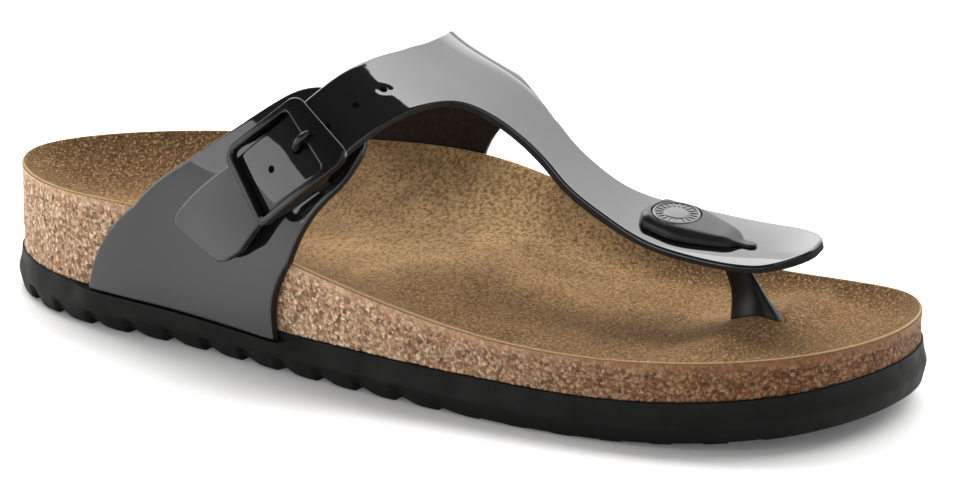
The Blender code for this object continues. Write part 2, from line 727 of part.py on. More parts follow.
def build_upper_strap(finish):
    """T-shaped strap: tongue, band over the instep down to the inner sole edge, and toe strap."""
    root = BAND.place("root_outer"), BAND.place("root_inner")
    start = BAND.length - end_places(BAND.length, TONGUE_END, TONGUE_END_ROWS)[::-1]
    places = np.r_[
        start,
        np.linspace(TONGUE_END[0], root[0], STRAP_OUTER_ROWS)[1:],
        np.linspace(*root, TOE_STRAP_COLUMNS + 1)[1:],
        np.linspace(root[1], BAND.length, STRAP_INNER_ROWS)[1:],
    ]
    columns = np.linspace(0, 1, STRAP_COLUMNS + 1)
    narrow = round_end(places, TONGUE_END)
    along, girth, lift = BAND.at(places[:, None], columns, narrow[:, None])
    band_outer, band_inner = leather_sheets(along, girth, lift)
    faces = sheet_faces(len(places), len(columns))

    steps = np.r_[
        np.linspace(0, TOE_STRAP.length - TOE_END[0], TOE_STRAP_STEPS)[1:],
        end_places(TOE_STRAP.length, TOE_END, TOE_END_STEPS),
    ]
    shares = np.linspace(0, 1, TOE_STRAP_COLUMNS + 1)
    narrow = round_end(TOE_STRAP.length - steps, TOE_END)
    along, girth, lift = TOE_STRAP.at(steps[:, None], shares, narrow[:, None])
    toe_outer, toe_inner = leather_sheets(along, girth, lift)
    first_root = int(np.argmin(abs(places - root[0])))
    width = len(shares)
    root_points = [(first_root + i) * len(columns) + STRAP_COLUMNS for i in range(width)]
    first_toe = len(band_outer)
    for i in range(width - 1):
        faces.append((root_points[i], first_toe + i, first_toe + i + 1, root_points[i + 1]))
    for a, b, c, d in sheet_faces(len(steps), width, first_toe):
        faces.append((a, d, c, b))
    solid = thicken(np.vstack([band_outer, toe_outer]), np.vstack([band_inner, toe_inner]), faces)
    strap = add_object("upper_strap", solid, finish)

    prong = BUCKLE_PLACE + BRIDGE_PLACE
    cutters = [punch(prong, PRONG_HOLE_RADIUS)]
    for step in HOLE_STEPS:
        cutters.append(punch(prong + step * HOLE_PITCH, HOLE_RADIUS))
    _, _, half, back, front = POST_ROWS[-1]
    across, along = post_ring(half + SLOT_CLEARANCE, back - SLOT_CLEARANCE, front + SLOT_CLEARANCE)
    middle = toe_strap_height(across, along, 0)
    cutters.append(loft([np.stack([across, along, middle + z], -1) for z in SLOT_REACH]))
    combine(strap, add_cutter("strap_holes", joined(cutters)), "DIFFERENCE")


def build_quarter(finish):
    """Leather quarter from the outer sole edge up behind the buckle."""
    places = np.r_[
        np.linspace(0, QUARTER.length - QUARTER_END[0], QUARTER_STEPS),
        end_places(QUARTER.length, QUARTER_END, QUARTER_END_STEPS),
    ]
    narrow = round_end(QUARTER.length - places, QUARTER_END)
    columns = np.linspace(0, 1, QUARTER_COLUMNS + 1)
    along, girth, lift = QUARTER.at(places[:, None], columns, narrow[:, None])
    outer, inner = leather_sheets(along, girth, lift)
    add_object("lateral_quarter", thicken(outer, inner, sheet_faces(len(places), len(columns))), finish)


def rounded_frame(back, front, half_width, corner):
    """Rounded rectangle in the buckle's plane, as places along and across the band."""
    points = []
    side, low, high = half_width - corner, back + corner, front - corner
    centres = [(high, side), (low, side), (low, -side), (high, -side)]
    for quarter_turn, (forward, across) in enumerate(centres):
        for turn in math.pi / 2 * (quarter_turn + np.linspace(0, 1, CORNER_POINTS)):
            points.append((forward + corner * math.cos(turn), across + corner * math.sin(turn)))
    return points


def build_buckle(finish):
    """Frame around the strap, with a bridge bar under it on two cheeks."""
    low = BUCKLE_LIFT + LEATHER + GAP
    high = low + BUCKLE_THICKNESS
    half_length, half_width = BUCKLE_LENGTH / 2, BUCKLE_WIDTH / 2
    window_back, window_front = -half_length + BUCKLE_END_BAR, half_length - BUCKLE_WIDE_BAR
    window_half = half_width - BUCKLE_SIDE_BAR
    inner_corner = BUCKLE_CORNER / 2
    bevel = BUCKLE_BEVEL
    profile = [
        (0, low, False), (0, high - bevel, False), (bevel, high, False),
        (bevel, high, True), (0, high - bevel, True), (0, low, True),
    ]
    loops = []
    for inset, height, inner in profile:
        if inner:
            sizes = window_back - inset, window_front + inset, window_half + inset, inner_corner
        else:
            sizes = inset - half_length, half_length - inset, half_width - inset, BUCKLE_CORNER
        loops.append([buckle_point(forward, across, height) for forward, across in rounded_frame(*sizes)])
    count = len(loops[0])
    faces = []
    for r in range(len(loops)):
        s = (r + 1) % len(loops)
        for i in range(count):
            j = (i + 1) % count
            faces.append((r * count + i, r * count + j, s * count + j, s * count + i))
    frame = add_object("buckle_frame", (np.vstack(loops), faces), finish)

    bar_low = LEATHER + GAP
    bar_high = bar_low + BRIDGE_THICKNESS
    outer, inner = half_width - BRIDGE_INSET, window_half + BRIDGE_INSET
    upright = (low + high) / 2
    section = [
        (-outer, upright), (-outer, bar_low), (outer, bar_low), (outer, upright),
        (inner, upright), (inner, bar_high), (-inner, bar_high), (-inner, upright),
    ]
    yoke = []
    for forward in BRIDGE_PLACE + np.linspace(-BRIDGE_LENGTH / 2, BRIDGE_LENGTH / 2, 3):
        yoke.append(np.array([buckle_point(forward, w, h) for w, h in section]))
    combine(frame, add_cutter("bridge_bar", loft(yoke)), "UNION")

    build_prong(bar_high + GAP, high + GAP + PRONG_RADIUS, window_front + PRONG_OVERLAP, finish)


def build_prong(start, over, tip, finish):
    """Round pin up from the bridge bar through the strap's hole, bent over to the wide bar."""
    path = []
    for _, reach, rise, radius in PRONG_ROWS:
        path.append((BRIDGE_PLACE + reach * (tip - BRIDGE_PLACE), start + rise * (over - start), radius))
    rings = []
    for i, (forward, height, share) in enumerate(path):
        before, after = path[max(i - 1, 0)], path[min(i + 1, len(path) - 1)]
        lean = math.atan2(after[1] - before[1], after[0] - before[0])
        ring = []
        for turn in np.linspace(0, 2 * math.pi, PRONG_SIDES, endpoint=False):
            up = PRONG_RADIUS * share * math.cos(turn)
            across = PRONG_RADIUS * share * math.sin(turn)
            ring.append(buckle_point(forward - up * math.sin(lean), across, height + up * math.cos(lean)))
        rings.append(np.array(ring))
    add_object("buckle_prong", loft(rings), finish)


def build_toe_post(finish, button_finish):
    """Stem from the footbed through the strap's slot into a teardrop cap, and the button in the cap."""
    table = np.array(CAP_ROWS)
    places = TOE_STRAP.place_at(table[:, 0])
    width = np.linalg.norm(TOE_STRAP.point(places, 1.0) - TOE_STRAP.point(places, 0.0), axis=1)
    columns = np.linspace(-1, 1, CAP_COLUMNS)
    shares = 0.5 + (table[:, 1] / width)[:, None] * columns
    crown = np.maximum(1 - columns ** CAP_FLATNESS, 0) ** CAP_SHOULDER
    height = CAP_EDGE + (table[:, 2:3] - CAP_EDGE) * crown
    under = TOE_STRAP.point(places[:, None], shares, LEATHER + GAP)
    over = TOE_STRAP.point(places[:, None], shares, LEATHER + GAP + height)
    sheets = over.reshape(-1, 3), under.reshape(-1, 3)
    cap = add_object("toe_post", thicken(*sheets, sheet_faces(*shares.shape)), finish)

    loops = []
    for _, share, half, back, front in POST_ROWS:
        across, along = post_ring(half, back, front)
        foot = footbed_top(across, along) + POST_SEAT
        top = toe_strap_height(across, along, LEATHER + GAP + POST_INTO_CAP)
        loops.append(np.stack([across, along, foot + (top - foot) * share], -1))
    combine(cap, add_cutter("post_stem", loft(loops)), "UNION")

    point, forward, side, normal = TOE_STRAP.station(TOE_STRAP.place_at(BUTTON_ALONG))
    cap_height = np.interp(BUTTON_ALONG, table[:, 0], table[:, 2])
    seat = point + normal * (LEATHER + GAP + cap_height - BUTTON_DEPTH)
    turns = np.linspace(0, 2 * math.pi, BUTTON_SIDES, endpoint=False)[:, None]
    circle = np.cos(turns) * side + np.sin(turns) * forward
    recess = [seat + normal * h + (BUTTON_RADIUS + GAP) * circle for h in (-GAP, RECESS_REACH)]
    combine(cap, add_cutter("button_recess", loft(recess)), "DIFFERENCE")
    edge = BUTTON_RADIUS - BUTTON_EDGE
    disc = [(0, BUTTON_RADIUS), (BUTTON_THICKNESS - BUTTON_EDGE, BUTTON_RADIUS), (BUTTON_THICKNESS, edge)]
    rings = [seat + normal * h + radius * circle for h, radius in disc]
    add_object("toe_post_button", loft(rings), button_finish)


def stand_at_origin():
    """Move the sandal so that its origin is the middle of its footprint, on the floor."""
    bpy.context.view_layer.update()
    depsgraph = bpy.context.evaluated_depsgraph_get()
    corners = []
    for piece in SANDAL.children:
        if not piece.hide_render:
            shape = piece.evaluated_get(depsgraph)
            corners += [shape.matrix_world @ vertex.co for vertex in shape.data.vertices]
    corners = np.array(corners)
    low, high = corners.min(axis=0), corners.max(axis=0)
    SANDAL.location = (-(low[0] + high[0]) / 2, -(low[1] + high[1]) / 2, -low[2])


for old in list(bpy.data.objects):
    bpy.data.objects.remove(old, do_unlink=True)
SANDAL = bpy.data.objects.new("sandal", None)
bpy.context.scene.collection.objects.link(SANDAL)

FINISH = {name: finish_material(name) for name in FINISHES}
build_outsole(FINISH["outsole_rubber"])
build_footbed(FINISH["cork"], FINISH["suede"])
build_quarter(FINISH["patent_leather"])
build_upper_strap(FINISH["patent_leather"])
build_buckle(FINISH["hardware"])
build_toe_post(FINISH["post_moulding"], FINISH["hardware"])
stand_at_origin()
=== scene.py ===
"""Looks of a toe post sandal for the right foot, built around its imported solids.

Shoe frame: across is +X to the outer side of the foot, along is +Y from heel to toe, up is +Z.
Shapes are worked out in millimetres from the back of the heel and placed by the heel's rest point.
"""
import json
import math

import bmesh
import bpy
import numpy as np
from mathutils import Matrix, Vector


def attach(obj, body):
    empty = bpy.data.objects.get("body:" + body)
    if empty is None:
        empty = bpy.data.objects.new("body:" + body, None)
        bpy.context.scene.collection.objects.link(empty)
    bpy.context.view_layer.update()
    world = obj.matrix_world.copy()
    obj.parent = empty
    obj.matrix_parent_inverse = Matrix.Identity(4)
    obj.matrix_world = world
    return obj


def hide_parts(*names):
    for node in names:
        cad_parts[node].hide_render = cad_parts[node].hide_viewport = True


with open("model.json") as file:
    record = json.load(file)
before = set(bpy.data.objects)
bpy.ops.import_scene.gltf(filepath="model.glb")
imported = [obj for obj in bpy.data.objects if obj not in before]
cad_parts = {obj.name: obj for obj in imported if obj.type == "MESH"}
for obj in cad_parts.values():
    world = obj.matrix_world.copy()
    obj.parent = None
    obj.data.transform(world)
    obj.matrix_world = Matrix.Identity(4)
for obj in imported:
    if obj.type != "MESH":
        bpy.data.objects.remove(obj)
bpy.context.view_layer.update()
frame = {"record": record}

# Outsole: black foamed rubber moulded in one piece, with wavy cross lugs and a flared lip,
# cemented under the cork. It steps out where the leather comes down on it, and the toe is lifted.
MILLIMETRE = 0.001
HEEL_REST = np.array([0.0, 37.85, 0.0])
FOOTBED_LENGTH = 252.0
BALL_WIDTH = 90.0
HEEL_RIM = 34.5
OUTSOLE_HEIGHT = 10.6
TOE_SPRING = 5.5
SPRING_START = 0.74
LUG_DEPTH = 2.2
LUG_PITCH = 12.5
GROOVE_WIDTH = 3.6
GROOVE_SLOPE = 0.9
LUG_ROUND = 4.6
NOTCH_RISE = 1.1
NOTCH_FADE = (135.0, 175.0)
GROOVE_WAVE = 2.0
GROOVE_WAVE_LENGTH = 30.0
GROOVE_NOTCH = 0.95
STEP_OFFSET = 0.1
STEP_DEPTH = 0.15
STRAP_LEDGE = 2.1
STRAP_LEDGE_FADE = 9.0
TREAD_OFFSET = -0.8
OUTLINE_SAMPLES = 4800
OUTSOLE_ROWS = 420
OUTSOLE_LEVELS = 22
OUTSOLE_COLUMNS = 40
END_ROW = 0.000002
SMOOTH_ANGLE = 48.0

# Footbed outline: name, across share of ball width, along share of length, rim share of heel rim
SOLE_LANDMARKS = [
    ("heel_back", 0.000, 0.000, 0.971),
    ("heel_outer", 0.350, 0.115, 1.000),
    ("arch_outer", 0.406, 0.270, 1.000),
    ("waist_outer", 0.467, 0.429, 0.861),
    ("ball_outer", 0.519, 0.634, 0.649),
    ("toe_outer", 0.493, 0.810, 0.626),
    ("toe_corner", 0.289, 0.962, 0.707),
    ("toe_tip", -0.100, 1.000, 0.707),
    ("toe_inner", -0.417, 0.940, 0.649),
    ("ball_inner", -0.483, 0.736, 0.620),
    ("arch_inner", -0.407, 0.484, 1.139),
    ("waist_inner", -0.370, 0.298, 1.130),
    ("heel_inner", -0.359, 0.115, 1.000),
]
# Side below the ledge: name, share of height, offset from the outline, share of the strap ledge,
# share of the groove's notch
OUTSOLE_SIDE = [
    ("upper_wall", 0.74, 0.7, 0.85, 0.0),
    ("lip_top", 0.54, 1.25, 0.50, 0.0),
    ("lip_bottom", 0.42, 1.35, 0.35, 0.2),
    ("recess", 0.28, 1.0, 0.05, 0.8),
    ("foot", 0.06, 0.4, 0.00, 1.0),
]
LEDGE = 0.45
# Where leather comes down on the sole's side: back end, front end, and how far its foot sinks at each
LEATHER_FEET = {"outer": (43.6, 104.6, 0.4, 2.4), "inner": (62.0, 112.5, 1.0, 1.0)}

SHIFT = next(m["pos_m"] for m in frame["record"]["mounts"] if m["name"] == "heel_rest")
SHIFT = np.array(SHIFT) / MILLIMETRE - HEEL_REST


def hermite(places, values, slopes, place):
    """Cubic curve through values with given slopes at places."""
    place = np.asarray(place, float)
    i = np.clip(np.searchsorted(places, place, side="right") - 1, 0, len(places) - 2)
    step = places[i + 1] - places[i]
    t = (place - places[i]) / step
    if values.ndim > 1:
        t, step = t[..., None], step[..., None]
    keep = (1 + 2 * t) * (1 - t) ** 2 * values[i] + t * t * (3 - 2 * t) * values[i + 1]
    return keep + step * (t * (1 - t) ** 2 * slopes[i] - t * t * (1 - t) * slopes[i + 1])


def closed_spline(points):
    """Smooth closed curve through points, over the chord length of their first two columns."""
    knots = np.vstack([points, points[:1]])
    places = np.r_[0, np.cumsum(np.linalg.norm(np.diff(knots[:, :2], axis=0), axis=1))]
    steps = np.diff(places)
    count = len(steps)
    matrix = np.zeros((count, count))
    right = np.zeros((count, knots.shape[1]))
    for i in range(count):
        before, after = steps[i - 1], steps[i]
        matrix[i, i - 1] += after
        matrix[i, i] += 2 * (before + after)
        matrix[i, (i + 1) % count] += before
        rise = after * (knots[i] - points[i - 1]) / before + before * (knots[i + 1] - knots[i]) / after
        right[i] = 3 * rise
    slopes = np.linalg.solve(matrix, right)
    slopes = np.vstack([slopes, slopes[:1]])
    return places, lambda place: hermite(places, knots, slopes, place)


def open_spline(places, values):
    """Smooth open curve through values at places, straight at its ends."""
    steps = np.diff(places)
    count = len(places)
    matrix = np.zeros((count, count))
    right = np.zeros_like(values)
    matrix[0, :2] = 2, 1
    matrix[-1, -2:] = 1, 2
    right[0] = 3 * (values[1] - values[0]) / steps[0]
    right[-1] = 3 * (values[-1] - values[-2]) / steps[-1]
    for i in range(1, count - 1):
        before, after = steps[i - 1], steps[i]
        matrix[i, i - 1:i + 2] = after, 2 * (before + after), before
        rise = after * (values[i] - values[i - 1]) / before + before * (values[i + 1] - values[i]) / after
        right[i] = 3 * rise
    slopes = np.linalg.solve(matrix, right)
    return lambda place: hermite(places, values, slopes, place)


def smooth_step(value):
    """Share that eases in from 0 and out to 1."""
    value = np.clip(value, 0, 1)
    return value * value * (3 - 2 * value)


def crowded_shares(count):
    """Shares from 0 to 1 that crowd towards both ends, so that round ends stay round."""
    return (1 - np.cos(np.linspace(0, math.pi, count))) / 2


class Outline:
    """A closed outline read as an inner (0) and an outer (1) side over the length."""

    def __init__(self, points):
        points = np.roll(points, -points[:, 1].argmin(), axis=0)
        toe = points[:, 1].argmax()
        inner = np.vstack([points[toe:], points[:1]])[::-1]
        self.sides = (inner, points[:toe + 1])
        self.low = points[0, 1]
        self.high = points[toe, 1]

    def along(self, shares):
        """Places along the shoe at shares of the outline's length."""
        return self.low + (self.high - self.low) * np.asarray(shares)

    def edge(self, along, side, column):
        """A column of one side's table, read at places along."""
        table = self.sides[side]
        return np.interp(along, table[:, 1], table[:, column])

    def grid(self, shares, columns):
        """Places across and along for rows at shares of the length."""
        along = self.along(shares)
        inner, outer = self.edge(along, 0, 0), self.edge(along, 1, 0)
        across = inner[:, None] + (outer - inner)[:, None] * columns
        return across, np.repeat(along[:, None], len(columns), axis=1)


def spring(along):
    """Lift of the toe at places along the shoe."""
    start = SPRING_START * FOOTBED_LENGTH
    lift = np.maximum(np.asarray(along) - start, 0) / (FOOTBED_LENGTH - start)
    return TOE_SPRING * lift ** 2


landmarks = np.array([row[1:] for row in SOLE_LANDMARKS]) * [BALL_WIDTH, FOOTBED_LENGTH, HEEL_RIM]
landmark_places, outline_curve = closed_spline(landmarks)
OUTLINE = outline_curve(np.linspace(0, landmark_places[-1], OUTLINE_SAMPLES, endpoint=False))
tangents = np.roll(OUTLINE, -1, axis=0)[:, :2] - np.roll(OUTLINE, 1, axis=0)[:, :2]
NORMALS = np.stack([tangents[:, 1], -tangents[:, 0]], -1) / np.linalg.norm(tangents, axis=1)[:, None]
FOOTBED = Outline(OUTLINE)


def offset_outline(offset, height):
    """The footbed outline moved outwards to a height of its own."""
    moved = OUTLINE.copy()
    moved[:, :2] += NORMALS * np.reshape(offset, (-1, 1))
    moved[:, 2] = height
    return Outline(moved)


def leather_foot(along, outer_side):
    """Back and front ends of the leather on the sole's side, and how far its foot sinks there."""
    ends = [np.where(outer_side, *pair) for pair in zip(LEATHER_FEET["outer"], LEATHER_FEET["inner"])]
    back, front, sink_back, sink_front = ends
    share = np.clip((along - back) / (front - back), 0, 1)
    return back, front, sink_back + (sink_front - sink_back) * share


def groove(place):
    """Share of the lug depth at places along the sole: 1 in a groove, 0 on a lug."""
    phase = (place - GROOVE_WIDTH) % LUG_PITCH
    run_out = (GROOVE_WIDTH + LUG_ROUND - phase) / (GROOVE_WIDTH + LUG_ROUND - GROOVE_SLOPE)
    inside = smooth_step(np.minimum(phase / GROOVE_SLOPE, run_out))
    lugged = (place > GROOVE_WIDTH + LUG_PITCH) & (place < FOOTBED_LENGTH - LUG_PITCH - GROOVE_WIDTH)
    return np.where(lugged, inside, 0.0)


def loft(grid):
    """Points and faces of one closed body from rows of equal rings."""
    rows, count = grid.shape[:2]
    first = (np.arange(rows - 1)[:, None] * count + np.arange(count)).ravel()
    following = (np.arange(rows - 1)[:, None] * count + (np.arange(count) + 1) % count).ravel()
    sides = np.stack([first, following, following + count, first + count], -1).tolist()
    ends = [list(range(count)), list(range(rows * count - 1, (rows - 1) * count - 1, -1))]
    return grid.reshape(-1, 3), sides + ends


def add_piece(name, points, faces, finishes, finish_of_face=None):
    """A smooth object at the origin from points in shoe millimetres."""
    mesh = bpy.data.meshes.new(name)
    mesh.from_pydata(((points + SHIFT) * MILLIMETRE).tolist(), [], faces)
    for finish in finishes:
        mesh.materials.append(finish)
    if finish_of_face is not None:
        mesh.polygons.foreach_set("material_index", finish_of_face)
    cleaner = bmesh.new()
    cleaner.from_mesh(mesh)
    bmesh.ops.recalc_face_normals(cleaner, faces=cleaner.faces)
    cleaner.to_mesh(mesh)
    cleaner.free()
    mesh.shade_smooth()
    mesh.set_sharp_from_angle(angle=math.radians(SMOOTH_ANGLE))
    piece = bpy.data.objects.new(name, mesh)
    bpy.context.scene.collection.objects.link(piece)
    return piece


def fit(piece, node_name):
    """Stand a piece in for its solid on the sandal's one body."""
    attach(piece, "root")
    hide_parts(node_name)


def linear(code):
    """Linear colour of an sRGB hex code."""
    parts = [int(code[i:i + 2], 16) / 255 for i in (1, 3, 5)]
    return [p / 12.92 if p <= 0.04045 else ((p + 0.055) / 1.055) ** 2.4 for p in parts] + [1.0]


def per_mm(size):
    """Texture scale that gives a pattern this size in millimetres."""
    return 1 / (size * MILLIMETRE)


def add_node(tree, kind, settings=None, inputs=None):
    """A node with its settings, and its inputs set to values or linked to sockets."""
    made = tree.nodes.new(kind)
    for name, value in (settings or {}).items():
        setattr(made, name, value)
    for name, value in (inputs or {}).items():
        if isinstance(value, bpy.types.NodeSocket):
            tree.links.new(value, made.inputs[name])
        else:
            made.inputs[name].default_value = value
    return made


def start_finish(name, **values):
    """A material's tree and shader, with the shader's constant sockets set."""
    finish = bpy.data.materials.new(name)
    finish.use_nodes = True
    shader = finish.node_tree.nodes["Principled BSDF"]
    for socket, value in values.items():
        shader.inputs[socket.replace("_", " ")].default_value = value
    return finish, finish.node_tree, shader


def join(tree, shader, **sockets):
    """Link sockets to a shader's inputs of the same names."""
    for name, socket in sockets.items():
        tree.links.new(socket, shader.inputs[name.replace("_", " ")])


def fine_grain(tree, shader, size, detail, strength, depth):
    """Bump a finish with noise of a size and depth in millimetres, and give the noise for its colours."""
    spot = add_node(tree, "ShaderNodeTexCoord").outputs["Object"]
    grain = add_node(tree, "ShaderNodeTexNoise", inputs={
        "Vector": spot, "Scale": per_mm(size), "Detail": detail}).outputs["Fac"]
    relief = add_node(tree, "ShaderNodeBump", inputs={
        "Height": grain, "Strength": strength, "Distance": depth * MILLIMETRE})
    join(tree, shader, Normal=relief.outputs["Normal"])
    return grain


# Settings and socket numbers of a node that mixes two colours
COLOUR_MIX = {"data_type": "RGBA"}
COLOUR_MULTIPLY = {"data_type": "RGBA", "blend_type": "MULTIPLY"}
MIX_SHARE, MIX_FROM, MIX_TO, MIX_COLOUR = 0, 6, 7, 2


# Foamed rubber from a mould: dull black, faintly pebbled, a little greyer where it is scuffed.
# The pebbles are drawn coarser than real, so that they show.
foam_rubber, tree, shader = start_finish("foam_rubber", IOR=1.5, Specular_IOR_Level=0.18)
fine_grain(tree, shader, size=0.9, detail=3.0, strength=0.35, depth=0.15)
spot = add_node(tree, "ShaderNodeTexCoord").outputs["Object"]
scuffs = add_node(tree, "ShaderNodeTexNoise", inputs={"Vector": spot, "Scale": per_mm(9.0), "Detail": 5.0})
tone = add_node(tree, "ShaderNodeMix", COLOUR_MIX, {
    MIX_SHARE: scuffs.outputs["Fac"], MIX_FROM: linear("#060605"), MIX_TO: linear("#141312")})
dull = add_node(tree, "ShaderNodeMapRange", inputs={
    "Value": scuffs.outputs["Fac"], "From Min": 0.3, "From Max": 0.7, "To Min": 0.55, "To Max": 0.8})
join(tree, shader, Base_Color=tone.outputs[MIX_COLOUR], Roughness=dull.outputs["Result"])

shares = np.clip(crowded_shares(OUTSOLE_ROWS), END_ROW, 1 - END_ROW)
nominal = shares * FOOTBED_LENGTH
outer_side = OUTLINE[:, 0] > 0
foot_back, foot_front, sink = leather_foot(OUTLINE[:, 1], outer_side)
near_foot = np.minimum(OUTLINE[:, 1] - foot_back, foot_front - OUTLINE[:, 1]) / STRAP_LEDGE_FADE
bulge = smooth_step(near_foot + 1)
ledge_height = OUTSOLE_HEIGHT - (STEP_DEPTH + (sink - STEP_DEPTH) * bulge)
faded = (NOTCH_FADE[1] - OUTLINE[:, 1]) / (NOTCH_FADE[1] - NOTCH_FADE[0])
notch = GROOVE_NOTCH * groove(OUTLINE[:, 1]) * smooth_step(faded)
offsets = [LEDGE + STRAP_LEDGE * bulge]
heights = [ledge_height]
for _, height, offset, bulge_share, notch_share in OUTSOLE_SIDE:
    offsets.append(offset + STRAP_LEDGE * bulge_share * bulge - notch_share * notch)
    heights.append(height * OUTSOLE_HEIGHT + NOTCH_RISE * notch_share ** 3 * notch)
level_places = np.arange(len(offsets), dtype=float)
fine_levels = np.linspace(0, level_places[-1], OUTSOLE_LEVELS)
offsets = open_spline(level_places, np.array(offsets))(fine_levels)
heights = open_spline(level_places, np.array(heights))(fine_levels)
levels = [offset_outline(STEP_OFFSET, ledge_height)]
levels += [offset_outline(offset, height) for offset, height in zip(offsets, heights)]


def wall_lines(levels, shares, side):
    """Lines down one side through outlines at several levels, lifted by the toe spring."""
    lines = []
    for level in levels:
        along = level.along(shares)
        height = level.edge(along, side, 2) + spring(along)
        lines.append(np.stack([level.edge(along, side, 0), along, height], -1))
    return np.stack(lines, axis=1)


across, along = offset_outline(STEP_OFFSET, 0).grid(shares, np.array([0.0, 1.0]))
deck = np.stack([across, along, OUTSOLE_HEIGHT + spring(along)], -1)
across, along = offset_outline(TREAD_OFFSET, 0).grid(shares, np.linspace(0, 1, OUTSOLE_COLUMNS))
wave = GROOVE_WAVE * np.sin(2 * math.pi * across / GROOVE_WAVE_LENGTH)
wave *= np.sin(math.pi * np.linspace(0, 1, OUTSOLE_COLUMNS))
tread = np.stack([across, along, spring(along) + LUG_DEPTH * groove(nominal[:, None] - wave)], -1)
rings = [deck, wall_lines(levels, shares, 1), tread[:, ::-1], wall_lines(levels, shares, 0)[:, ::-1]]
outsole = add_piece("outsole_moulding", *loft(np.concatenate(rings, axis=1)), [foam_rubber])
fit(outsole, "outsole")

# Footbed core: ground cork and latex pressed in a heated mould, glued to the outsole.
# Its bare wall shows packed grains below a smoother pressed band at the rim.
GAP = 0.3
GLUE = 0.05
LINING_THICKNESS = 1.1
LINING_INSET = 0.2
RIM_CURVE = 2.2
CORK_ROWS = 760
CORK_LEVELS = 36
CORK_TOP_COLUMNS = 16
GRAIN_SIZE = 1.7
GRAIN_RELIEF = 0.36
GRAIN_UNEVEN = 0.24
GRAIN_SEED = 7
GRAIN_FAR = 9.0
CREVICE_WIDTH = 0.5
CREVICE_CURVE = 1.4
CREVICE_SHADE = 0.7
PRESSED_BAND = 3.2
PRESSED_SHOW = 0.35
TOE_SHADE_START = 0.45
TOE_SHADE_REACH = 0.5

# Foot bed along the middle: along, height, rim width (how far the raised rim reaches in)
BED_ROWS = np.array([
    (0.0, 23.0, 26.0),
    (30.0, 22.0, 27.0),
    (75.0, 23.5, 25.0),
    (115.0, 22.5, 23.0),
    (140.0, 20.0, 18.0),
    (165.0, 16.4, 13.0),
    (190.0, 15.2, 11.0),
    (215.0, 15.8, 10.0),
    (238.0, 18.2, 10.0),
    (252.0, 20.8, 9.0),
])
# Soft rises of the bed: name, across, along, half width across, half width along, height
BED_RISES = [
    ("arch_support", -24.0, 108.0, 15.0, 34.0, 5.0),
    ("ball_pad", 2.0, 137.0, 16.0, 15.0, 2.4),
    ("toe_bar", -2.0, 211.0, 38.0, 8.0, 3.8),
    ("post_mound", -11.0, 215.0, 8.0, 6.0, 1.3),
]
bed_height = open_spline(BED_ROWS[:, 0], BED_ROWS[:, 1])
bed_rim_width = open_spline(BED_ROWS[:, 0], BED_ROWS[:, 2])


def soft_spot(first, second):
    """A soft round spot over two distances in half widths: 1 in its middle and fading out."""
    return np.exp(-first ** 2 - second ** 2)


def footbed_top(across, along):
    """Height of the lining's upper face, and how deep inside the outline each place lies."""
    across, along = np.asarray(across, float), np.asarray(along, float)
    depth, rim = np.zeros_like(across), np.zeros_like(across)
    for row in np.ndindex(across.shape[:-1]):
        reach = np.hypot(across[row][:, None] - OUTLINE[:, 0], along[row][:, None] - OUTLINE[:, 1])
        depth[row] = reach.min(axis=1)
        rim[row] = OUTLINE[reach.argmin(axis=1), 2]
    bed = bed_height(along)
    share = np.clip(1 - depth / bed_rim_width(along), 0, 1) ** RIM_CURVE
    rise = np.zeros_like(across)
    for _, x, y, half_across, half_along, height in BED_RISES:
        rise += height * soft_spot((across - x) / half_across, (along - y) / half_along)
    return bed + (rim - bed) * share + rise * (1 - share), depth


def grain_cells(arc, height, seed):
    """Distances to the two nearest of scattered grain centres, and a tone of the nearest grain's own."""
    columns = int(arc.max() / GRAIN_SIZE) + 3
    rows = int(height.max() / GRAIN_SIZE) + 3
    generator = np.random.default_rng(seed)
    jitter, tones = generator.random((columns, rows, 2)), generator.random((columns, rows))
    u, v = arc / GRAIN_SIZE + 1, height / GRAIN_SIZE + 1
    nearest, second = np.full(u.shape, GRAIN_FAR), np.full(u.shape, GRAIN_FAR)
    tone = np.zeros(u.shape)
    for step_u, step_v in np.ndindex(3, 3):
        column = np.clip(np.floor(u).astype(int) + step_u - 1, 0, columns - 1)
        row = np.clip(np.floor(v).astype(int) + step_v - 1, 0, rows - 1)
        reach = np.hypot(column + jitter[column, row, 0] - u, row + jitter[column, row, 1] - v)
        closer = reach < nearest
        second = np.where(closer, nearest, np.minimum(second, reach))
        tone = np.where(closer, tones[column, row], tone)
        nearest = np.minimum(nearest, reach)
    return nearest, second, tone


def set_values(piece, name, values):
    """Store a value for each point of a piece, for its finish to read."""
    stored = piece.data.attributes.new(name, "FLOAT", "POINT")
    stored.data.foreach_set("value", np.ascontiguousarray(values, np.float32).ravel())


# Pressed cork: pale tan grains with darker bark grains among them, and painted shade in the crevices between
# them.
# It is palest at the heel, and painted shade darkens it towards the toe, where less light falls.
pressed_cork, tree, shader = start_finish("pressed_cork", IOR=1.45, Specular_IOR_Level=0.4, Roughness=0.6)
spot = add_node(tree, "ShaderNodeTexCoord").outputs["Object"]
bare = add_node(tree, "ShaderNodeAttribute", {"attribute_name": "bare"}).outputs["Fac"]
crevice_shade = add_node(tree, "ShaderNodeAttribute", {"attribute_name": "crevice_shade"}).outputs["Fac"]
toe_shade = add_node(tree, "ShaderNodeAttribute", {"attribute_name": "toe_shade"}).outputs["Fac"]
warp = add_node(tree, "ShaderNodeTexNoise", inputs={"Vector": spot, "Scale": per_mm(1.6), "Detail": 2.0})
bent = add_node(tree, "ShaderNodeVectorMath", {"operation": "MULTIPLY_ADD"}, {
    0: warp.outputs["Color"], 1: [0.9 * MILLIMETRE] * 3, 2: spot})
cells = add_node(tree, "ShaderNodeTexVoronoi", {"feature": "F1"}, {
    "Vector": bent.outputs["Vector"], "Scale": per_mm(0.95)})
